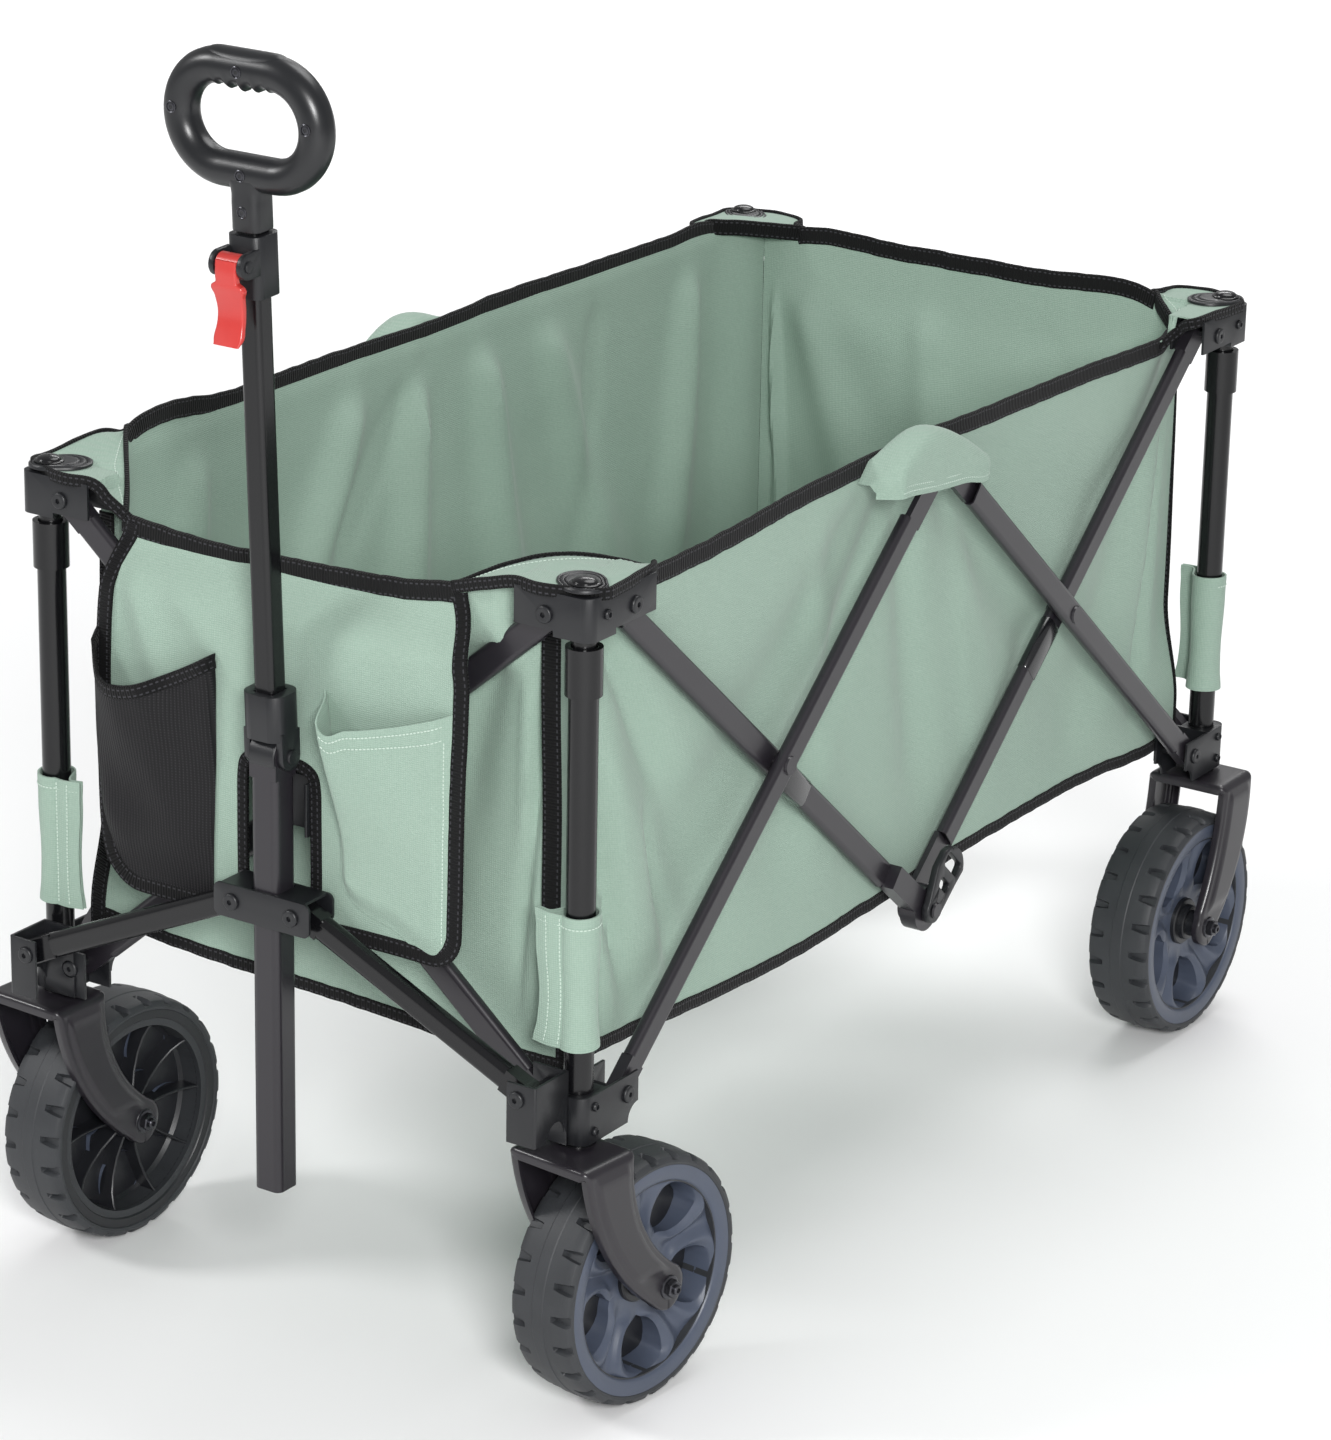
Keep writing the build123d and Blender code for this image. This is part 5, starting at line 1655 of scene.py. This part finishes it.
    def end_tapes(self, front: bool) -> list[bpy.types.Object]:
        """The rim tape and the skirt tape of an end wall.

        Args:
            front: Whether it is the front one.

        Returns:
            The tapes.
        """
        word, body = ("front", "top_fr") if front else ("rear", "top_rr")
        rim = self.front_rim if front else self.rear_rim
        made = []
        for label, edge, drop, width, reach in (("rim", rim, -5.5, self.tape,
                                                 (-153, 125) if front else (-159, 169)),
                                                ("skirt", self.end_skirt, 3.5, self.hem, (-201, 201))):
            x = np.linspace(*reach, 180)
            z = edge(x) + drop
            y = -self.end_cloth(x, z, front) - (1.4 if front and label == "rim" else 0.0)
            path = np.stack([x, y, z], axis=-1)
            path[:, 2] += 0.7 * ripple(path, 16, 1.0) + 0.3 * ripple(path, 6, 8.0)
            thick = 5.2 if front and label == "rim" else self.tape_depth
            made.append(make_tape(f"{label}_tape_{word}", path, (0, 0, 1), (width, thick), body, 1,
                                  1 if front else -1, Flatten.ACROSS))
        return made

    def gusset(self, corner: Corner) -> list[bpy.types.Object]:
        """The cloth triangle that lies over a corner bracket, the tapes along its edges and its stitches.

        Args:
            corner: Which corner.

        Returns:
            The cloth and what is sewn to it.
        """
        (ax, ay, az), (ex, ey, ez), hump = self.corners[corner]
        tip = self.bracket_clear + 1.2
        inner = even_path([(ax - 3, ay, az - 1), (ax, ay, az),
                           (0.75 * ax + 0.25 * ex, 0.75 * ay + 0.25 * ey + 1.5,
                            0.75 * az + 0.25 * ez + 0.7 * hump),
                           ((ax + ex) / 2, (ay + ey) / 2 + 1, (az + ez) / 2 + hump),
                           (0.25 * ax + 0.75 * ex, 0.25 * ay + 0.75 * ey, 0.25 * az + 0.75 * ez + 0.7 * hump),
                           (ex, ey, ez), (ex + 0.4, ey + 4, ez)], 1.5)
        arc = [(POST_X + 5.8 + 9.5 * math.sin(t), 6.0 - POST_Y - 9.5 * math.cos(t), tip)
               for t in np.linspace(0, math.pi / 2, 9)]
        outer = even_path([(ax - 3, ay, az), ((ax + 174) / 2, ay - 4, (az + tip - 1) / 2 + 1),
                           (174, -POST_Y - 10.0, tip - 0.8), (200, -POST_Y - 14.0, tip), *arc,
                           (POST_X + 14.2, -POST_Y + 18, tip), (POST_X + 8, 26 - 400, max(tip - 1, ez - 6)),
                           ((POST_X + 8 + ex) / 2 - 3, (ey - 374) / 2 + 6, (tip + ez) / 2),
                           (ex + 1.2, max(ey, -366) + 2, ez), (ex + 0.8, max(ey, -366) + 5, ez)], 1.5)
        count = 90
        steps = np.linspace(0, 1, count)
        a, b = (read_path(path, np.linspace(0, 1, len(path)), steps) for path in (inner, outer))
        for line in (a, b):
            for _ in range(14):
                line[1:-1] = (line[:-2] + 2 * line[1:-1] + line[2:]) / 4
        share = np.linspace(0, 1, 24)[:, None, None]
        grid = a + (b - a) * share
        grid[..., 2] += 1.0 * ripple(grid, 36, 11.0 + corner.side) * np.sin(np.pi * share[..., 0])
        x, y = grid[..., 0], grid[..., 1]
        over = ((x > 172) & (y < -420)) | ((x > 203) & (y < -373))
        grid[..., 2] = np.where(over, np.maximum(grid[..., 2], self.bracket_clear), grid[..., 2])
        body = f"top_{corner.code}"
        side, end = corner.side, corner.end
        flatten = Flatten.CORNER_RIGHT if side > 0 else Flatten.CORNER_LEFT
        cloth = make_piece(f"corner_gusset_{corner.code}", Shell.sheet(grid, self.cloth), SAGE_CLOTH, body,
                           side, end, flatten=flatten)
        made = [cloth]
        for label, path, width, drop in (("inner", inner, 13.0, 3.5), ("outer", outer, 8.5, 1.6)):
            path = path - (0, 0, drop)
            path[:, 2] += 0.5 * ripple(path, 14, 3.0)
            out = np.cross(unit(np.gradient(path, axis=0)), (0, 0, 1)) * (0.0 if label == "inner" else 1.2)
            made.append(make_tape(f"corner_tape_{label}_{corner.code}", path + out, (0, 0, 1), (width, 3.4),
                                  body, side, end, flatten))
        made.append(stitches(f"corner_stitch_{corner.code}", grid[3, 6:-6] + (0, 0, 0.9), (0, 0, 1), body,
                             side, end, flatten=flatten))
        return made

    def floor(self, side: Side) -> bpy.types.Object:
        """One half of the floor, which sags a little from its seams.

        Args:
            side: Which half.

        Returns:
            The cloth.
        """
        x, y = np.meshgrid(np.linspace(0.6, 201.8, 60), np.linspace(-414, 414, 120), indexing="ij")
        sag = 5.0 * np.sin(np.pi * x / 202) * (1 - (y / 415) ** 4)
        z = 255 - sag + 0.8 * ripple(np.stack([x, y, 0 * x], axis=-1), 70, 8.0)
        made = make_piece(f"floor_cloth_{side.word}", Shell.sheet(np.stack([x, y, z], axis=-1), self.cloth),
                          SAGE_CLOTH, f"floor_{side.word}", side.value, flatten=Flatten.ALONG)
        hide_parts(f"floor_{side.word}")
        return made

    def post_sleeve(self, corner: Corner) -> list[bpy.types.Object]:
        """The hook-and-loop sleeve wrapped round a lower post.

        Args:
            corner: Which corner.

        Returns:
            The sleeve and its stitches.
        """
        turns = np.radians(np.linspace(-125, 150, 34))
        ring = [(POST_X - 27, -POST_Y - 9.0)] + [(POST_X - 17, -POST_Y - 11.0)]
        ring += [(POST_X + 12.0 * math.cos(a), -POST_Y + 12.0 * math.sin(a)) for a in turns]
        ring += [(POST_X - 17, -POST_Y - 7.0), (POST_X - 27, -POST_Y - 6.6)]
        path = even_path([(x, y, 0) for x, y in ring], 1.6)
        rows = []
        for z in np.linspace(272, 366, 26):
            row = path + (0, 0, z)
            swell = 1 + 0.05 * math.sin(z / 13) + 0.06 * (ease(z, 352, 366) + 1 - ease(z, 272, 286))
            row[:, :2] = (POST_X, -POST_Y) + (row[:, :2] - (POST_X, -POST_Y)) * swell
            row[:, 2] += 1.2 * ripple(row * (1, 1, 0), 22, 4.0)
            rows.append(row)
        body, code = f"base_{corner.code}", corner.code
        cloth = make_piece(f"post_sleeve_{code}", Shell.sheet(np.array(rows), 1.4), SAGE_CLOTH, body,
                           corner.side, corner.end)
        threads = []
        grid = np.array(rows)
        for label, line, out in (("edge", grid[1:-1, 6] + (-0.4, -0.9, 0), (-0.3, -1, 0)),
                                 ("fold", grid[1:-1, 12] + (-0.2, -0.9, 0), (0, -1, 0)),
                                 ("top", grid[-3, 2:34] * 1.0, None)):
            if out is None:
                out = unit(line - (POST_X, -POST_Y, 0) * np.array((1, 1, 0)) - (0, 0, 1) * line)
                line = line + out * 0.9
            threads.append(stitches(f"post_sleeve_stitch_{label}_{code}", line, out, body, corner.side,
                                    corner.end))
        return [cloth, *threads]

    def build(self) -> None:
        """Build every cloth of the basket."""
        for side in Side:
            cloth = self.wall(side)
            tapes = self.side_tapes(side)
            tab, *threads = self.tab(side)
            floor = self.floor(side)
            log.info("%s wall, tab and floor built", side.word)
        for front in (True, False):
            cloth = self.end_wall(front)
            self.end_tapes(front)
        for corner in Corner:
            cloth, *rest = self.gusset(corner)
            sleeve, *threads = self.post_sleeve(corner)
        log.info("end walls, gussets and sleeves built")


@dataclass
class FrontApron:
    """The apron in front of the end bars, its arch for the mast and its two pockets. Sizes in millimetres."""

    basket: Basket
    half: float = 150.0
    left_edge: Curve = Curve(((300, -148), (334, -158), (392, -162), (450, -162), (509, -160), (538, -156),
                              (555, -151), (570, -147)))
    right_edge: Curve = Curve(((300, 141), (363, 142.5), (433, 144), (489, 146.5), (518, 146), (540, 140),
                               (560, 133), (571, 131)))
    bottom: float = 309.0
    corner: float = 24.0
    plane: float = 459.6
    rim_plane: float = 440.6
    creases: tuple = (
        Crease((-140, 560), (-95, 430), 11, 4.5), Crease((-120, 562), (-40, 470), 12, 3.5),
        Crease((-152, 540), (-140, 470), 9, -3.0), Crease((60, 565), (40, 480), 16, 3.0),
        Crease((110, 560), (120, 500), 14, -2.0), Crease((-20, 560), (-60, 430), 14, 2.5),
    )
    arch_half: float = 34.0
    arch_shift: float = -7.0
    arch_top: float = 432.0
    arch_spring: float = 410.0
    cloth: float = 1.3

    def stand(self, x: np.ndarray, z: np.ndarray) -> np.ndarray:
        """The apron's own surface.

        Args:
            x: Places across it.
            z: Heights.

        Returns:
            Its y at each place.
        """
        points = np.stack(np.broadcast_arrays(x, 0.0 * x, z), axis=-1)
        lean = ease(z, 518, 558)
        push = sum(crease(x, z) for crease in self.creases) + 1.0 * ripple(points, 70, 12.0)
        return -(self.plane + (self.rim_plane - self.plane) * lean + np.maximum(push, -2.0) * (1 - lean))

    def spread(self, x: np.ndarray, z: np.ndarray) -> np.ndarray:
        """Move a place on a plain rectangle to where it is on the apron, whose sides aren't straight.

        Args:
            x: Places across the rectangle.
            z: Heights.

        Returns:
            The places across the apron.
        """
        share = np.clip((np.abs(x) - self.arch_half) / (self.half - self.arch_half), 0, 1)
        lean = np.where(x < 0, self.left_edge(z) + self.half, self.right_edge(z) - self.half)
        return x + share * lean + (1 - share) * self.arch_shift

    def foot(self, x: np.ndarray) -> np.ndarray:
        """The apron's lower edge, with its rounded corners."""
        over = np.clip(np.abs(x) - (self.half - self.corner), 0, self.corner)
        return self.bottom + 3.0 * np.sin(x / 60) + self.corner - np.sqrt(np.maximum(self.corner**2 - over**2,
                                                                                     0))

    def arch(self, x: np.ndarray) -> np.ndarray:
        """The arch's edge above a place between its two sides."""
        share = np.clip(np.abs(x) / self.arch_half, 0, 1)
        return self.arch_spring + (self.arch_top - self.arch_spring) * (1 - share**3.2) ** (1 / 3.2)

    def sheet(self) -> bpy.types.Object:
        """The apron's cloth, in one piece with its arch cut out.

        Returns:
            The cloth.
        """
        outer = np.linspace(self.arch_half, self.half, 30)
        inner = np.linspace(-self.arch_half, self.arch_half, 21)
        x = np.concatenate([-outer[::-1][:-1], inner, outer[1:]])
        below, above = 26, 34
        within = np.abs(x) <= self.arch_half + 1e-6
        start = np.where(within, self.arch(x), self.arch_spring)
        rim = self.basket.front_rim(x) - 1.0
        low = self.foot(x) + (self.arch_spring - self.foot(x)) * np.linspace(0, 1, below)[:, None]
        high = start + (rim - start) * np.linspace(0, 1, above)[:, None]
        z = np.vstack([low[:-1], high])
        xs = self.spread(np.broadcast_to(x, z.shape), z)
        grid = np.stack([xs, self.stand(xs, z), z], axis=-1)
        keep = np.ones((z.shape[0] - 1, z.shape[1] - 1), bool)
        middle = np.abs((x[1:] + x[:-1]) / 2) < self.arch_half
        keep[:below - 1, middle] = False
        made = make_piece("apron_cloth", Shell.sheet(grid, self.cloth, keep), SAGE_CLOTH, "top_fr",
                          flatten=Flatten.ACROSS)
        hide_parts("pocket_apron")
        return made

    def tapes(self) -> list[bpy.types.Object]:
        """The tape round the apron's edge and the one round its arch.

        Returns:
            The tapes.
        """
        across = np.linspace(-self.half + 0.5, self.half - 0.5, 120)
        left = [(-self.half, z) for z in np.linspace(564, self.bottom + self.corner, 60)]
        right = [(self.half, z) for z in np.linspace(self.bottom + self.corner, 568, 60)]
        arch_x = np.linspace(-self.arch_half, self.arch_half, 60)
        outlines = {
            "edge": (left + [(x, float(self.foot(x))) for x in across] + right, 1, 12.0),
            "arch": ([(-self.arch_half, z) for z in np.linspace(318, self.arch_spring, 40)]
                     + [(x, float(self.arch(x))) for x in arch_x[1:-1]]
                     + [(self.arch_half, z) for z in np.linspace(self.arch_spring, 318, 40)], -1, 9.0),
        }
        made = []
        for label, (outline, way, width) in outlines.items():
            path = even_path([(float(self.spread(x, z)), 0, z) for x, z in outline], 2.2, smooth=False)
            for _ in range(2):
                path[1:-1] = (path[:-2] + 2 * path[1:-1] + path[2:]) / 4
            ahead = unit(np.gradient(path, axis=0))
            inward = np.cross(ahead, (0, 1, 0)) * way
            path = path + inward * (width / 2 - 1.0)
            path[:, 1] = self.stand(path[:, 0], path[:, 2]) - 0.9
            path[:, 1] += 0.25 * ripple(path, 12, 2.0)
            made.append(make_tape(f"apron_{label}_tape", path, inward, (width, 3.0), "top_fr",
                                  flatten=Flatten.ACROSS))
        return made

    def pocket(self, name: str, finish: Finish, left: Curve, right: Curve, foot: Curve, mouth: Curve,
               bulge: Callable) -> tuple[bpy.types.Object, np.ndarray]:
        """A patch pocket that stands off the apron.

        Args:
            name: The pocket's name.
            finish: Its finish.
            left: Its left edge against height share.
            right: Its right edge against height share.
            foot: Its lower edge against width share.
            mouth: Its upper edge against width share.
            bulge: How far it stands off, from its width and height shares.

        Returns:
            The cloth, and its grid of points.
        """
        u, v = np.meshgrid(np.linspace(0, 1, 64), np.linspace(0, 1, 56))
        x = left(v) + (right(v) - left(v)) * u
        z = foot(u) + (mouth(u) - foot(u)) * v
        y = self.stand(x, z) - 1.3 - bulge(u, v)
        grid = np.stack([x, y, z], axis=-1)
        grid[..., 1] -= 0.8 * ripple(grid, 30, 5.0) * np.minimum(1, bulge(u, v) / 4)
        cloth = make_piece(name, Shell.sheet(grid, 1.1), finish, "top_fr", flatten=Flatten.ACROSS)
        return cloth, grid

    @staticmethod
    def mesh_bulge(u: np.ndarray, v: np.ndarray) -> np.ndarray:
        """How far the mesh pocket stands off the apron.

        Args:
            u: Shares of its width.
            v: Shares of its height.

        Returns:
            The distance at each place.
        """
        rise = np.sin(np.pi * np.clip(u, 0, 1)) ** 0.45
        return (ease(v, 0, 0.3) * rise * (8 + 9 * ease(v, 0.3, 1.0))
                + 9 * ease(v, 0.4, 1) * (1 - ease(u, 0.1, 0.7)) * rise
                + 2.2 * np.sin(9 * u + 5 * v) * rise * ease(v, 0.1, 0.5))

    @staticmethod
    def patch_bulge(u: np.ndarray, v: np.ndarray) -> np.ndarray:
        """How far the patch pocket stands off the apron, from shares of its width and height."""
        return ((4 + 19 * ease(v, 0.15, 1.0) * (1 - 0.72 * ease(u, 0.05, 0.9)))
                * ease(v, 0, 0.12) * ease(u, 0, 0.09) * ease(1 - u, 0, 0.12))

    def hem(self, name: str, grid: np.ndarray, row: int, width: float) -> bpy.types.Object:
        """A tape folded over a pocket's mouth.

        Args:
            name: The tape's name.
            grid: The pocket's points.
            row: The pocket row that the tape's middle follows.
            width: The tape's width.

        Returns:
            The tape.
        """
        up = unit(grid[-1] - grid[-6])
        return make_tape(name, grid[row] + (0, -0.2, 0), up, (width, 2.8), "top_fr", flatten=Flatten.ACROSS)

    def build(self) -> None:
        """Build the apron and its pockets."""
        cloth = self.sheet()
        self.tapes()
        mesh, grid = self.pocket(
            "mesh_pocket_cloth", POCKET_MESH, Curve(((0, -147), (0.15, -156), (0.4, -161), (1, -161))),
            Curve(((0, -64), (1, -57))), Curve(((0, 328), (0.12, 317), (0.5, 314), (0.9, 317), (1, 321))),
            Curve(((0, 492), (0.05, 478), (0.1, 468), (0.2, 463), (0.35, 463), (0.5, 467), (0.65, 474),
                   (0.8, 482), (0.92, 489), (1, 494))), self.mesh_bulge)
        self.hem("mesh_pocket_hem", grid, -3, 9.0)
        patch, grid = self.pocket(
            "patch_pocket_cloth", SAGE_CLOTH, Curve(((0, 45), (0.3, 43.5), (1, 33))),
            Curve(((0, 132), (1, 136.5))), Curve(((0, 350), (0.08, 343), (0.5, 329), (0.92, 316), (1, 320))),
            Curve(((0, 487), (0.05, 477), (0.1, 468), (0.3, 470), (0.7, 480), (1, 491))), self.patch_bulge)
        for label, line in (("upper", grid[-3, 7:-4]), ("lower", grid[-6, 7:-4]), ("side", grid[4:-6, -4])):
            stitches(f"patch_pocket_stitch_{label}", line + (0, -0.8, 0), (0, -1, 0), "top_fr",
                                    flatten=Flatten.ACROSS)
        log.info("apron and pockets built")


# ------------------------------------------------------------------ studio
@dataclass(frozen=True)
class Lamp:
    """A soft area light, aimed at a point. Sizes in metres, power in watts."""

    name: str
    place: tuple
    aim: tuple
    size: float
    power: float

    def build(self) -> None:
        """Hang the light."""
        data = bpy.data.lights.new(self.name, "AREA")
        data.shape = "DISK"
        data.size = self.size
        data.energy = self.power
        lamp = bpy.data.objects.new(self.name, data)
        lamp.location = self.place
        lamp.rotation_euler = (Vector(self.aim) - Vector(self.place)).to_track_quat("-Z", "Y").to_euler()
        bpy.context.scene.collection.objects.link(lamp)


@dataclass
class Studio:
    """The pale floor, the soft lights and the camera."""

    azimuth_deg: float = 33.213
    elevation_deg: float = 19.94
    roll_deg: float = 1.104
    target: tuple = (-0.08425, 0.14539, 0.26835)
    distance: float = 3.896845
    lens_mm: float = 125.57
    sky: str = "#F4F5F6"
    sky_strength: float = 0.40
    lamps: tuple = (
        Lamp("key", (-3.3, -2.7, 3.2), (0, 0, 0.3), 1.2, 84.0),
        Lamp("fill", (2.7, -3.3, 2.2), (0, 0, 0.3), 1.2, 172.0),
        Lamp("top", (0.2, 1.6, 3.8), (0, 0, 0.3), 2.4, 62.0),
        Lamp("backdrop", (-2.2, 4.6, 3.6), (-2.8, 5.6, 0), 3.0, 190.0),
    )

    def camera(self) -> None:
        """Set up the camera on its bearing round the wagon."""
        a, e, roll = (math.radians(v) for v in (self.azimuth_deg, self.elevation_deg, self.roll_deg))
        back = Vector((math.sin(a) * math.cos(e), -math.cos(a) * math.cos(e), math.sin(e)))
        right = Vector((math.cos(a), math.sin(a), 0))
        up = back.cross(right)
        across = right * math.cos(roll) + up * math.sin(roll)
        upright = up * math.cos(roll) - right * math.sin(roll)
        data = bpy.data.cameras.new("camera")
        data.lens = self.lens_mm
        data.sensor_width = 36.0
        data.clip_start, data.clip_end = 0.05, 60.0
        made = bpy.data.objects.new("camera", data)
        made.matrix_world = (Matrix.Translation(Vector(self.target) + back * self.distance)
                             @ Matrix((across, upright, back)).transposed().to_4x4())
        bpy.context.scene.collection.objects.link(made)
        bpy.context.scene.camera = made

    def build(self) -> None:
        """Lay the floor and hang the lights."""
        reach, steps = 14.0, 24
        line = np.linspace(-reach, reach, steps)
        x, y = np.meshgrid(line, line)
        shell = Shell.grid(np.stack([x, y, 0 * x - 0.0003], axis=-1))
        mesh = bpy.data.meshes.new("studio_floor")
        mesh.from_pydata(shell.points.tolist(), [], shell.faces)
        mesh.materials.append(STUDIO_PAINT.material())
        floor = bpy.data.objects.new("studio_floor", mesh)
        bpy.context.scene.collection.objects.link(floor)
        world = bpy.data.worlds.new("studio")
        world.use_nodes = True
        world.node_tree.nodes.clear()
        light = add_node(world.node_tree, "ShaderNodeBackground",
                         {"Color": linear(self.sky), "Strength": self.sky_strength})
        add_node(world.node_tree, "ShaderNodeOutputWorld", {"Surface": light.outputs[0]})
        bpy.context.scene.world = world
        bpy.context.scene.view_settings.view_transform = "Standard"
        for lamp in self.lamps:
            lamp.build()
        self.camera()
        log.info("studio built")


def main() -> None:
    """Build the wagon's sub-assemblies in order, then the studio."""
    logging.basicConfig(level=logging.INFO, format="%(name)s: %(message)s")
    steel = SteelFrame()
    steel.dress()
    steel.bar_sleeves()
    steel.link_eye()
    yaws = {Corner.FRONT_RIGHT: -6.0, Corner.FRONT_LEFT: -3.0}
    for corner in Corner:
        yaw = yaws.get(corner, 0.0)
        Wheel(corner, yaw).build()
        if corner.end > 0:
            Fork(corner, yaw).build()
        else:
            Fork(corner, yaw, trail=44.5, lead=((-17, 200), (-3, 132), (36, 82)),
                 tail=((25, 200), (36, 146), (58, 100)), span=(-20, 28), boss=14.5).build()
    PullHandle().build()
    basket = Basket()
    basket.build()
    FrontApron(basket).build()
    Studio().build()


if __name__ == "__main__":
    main()
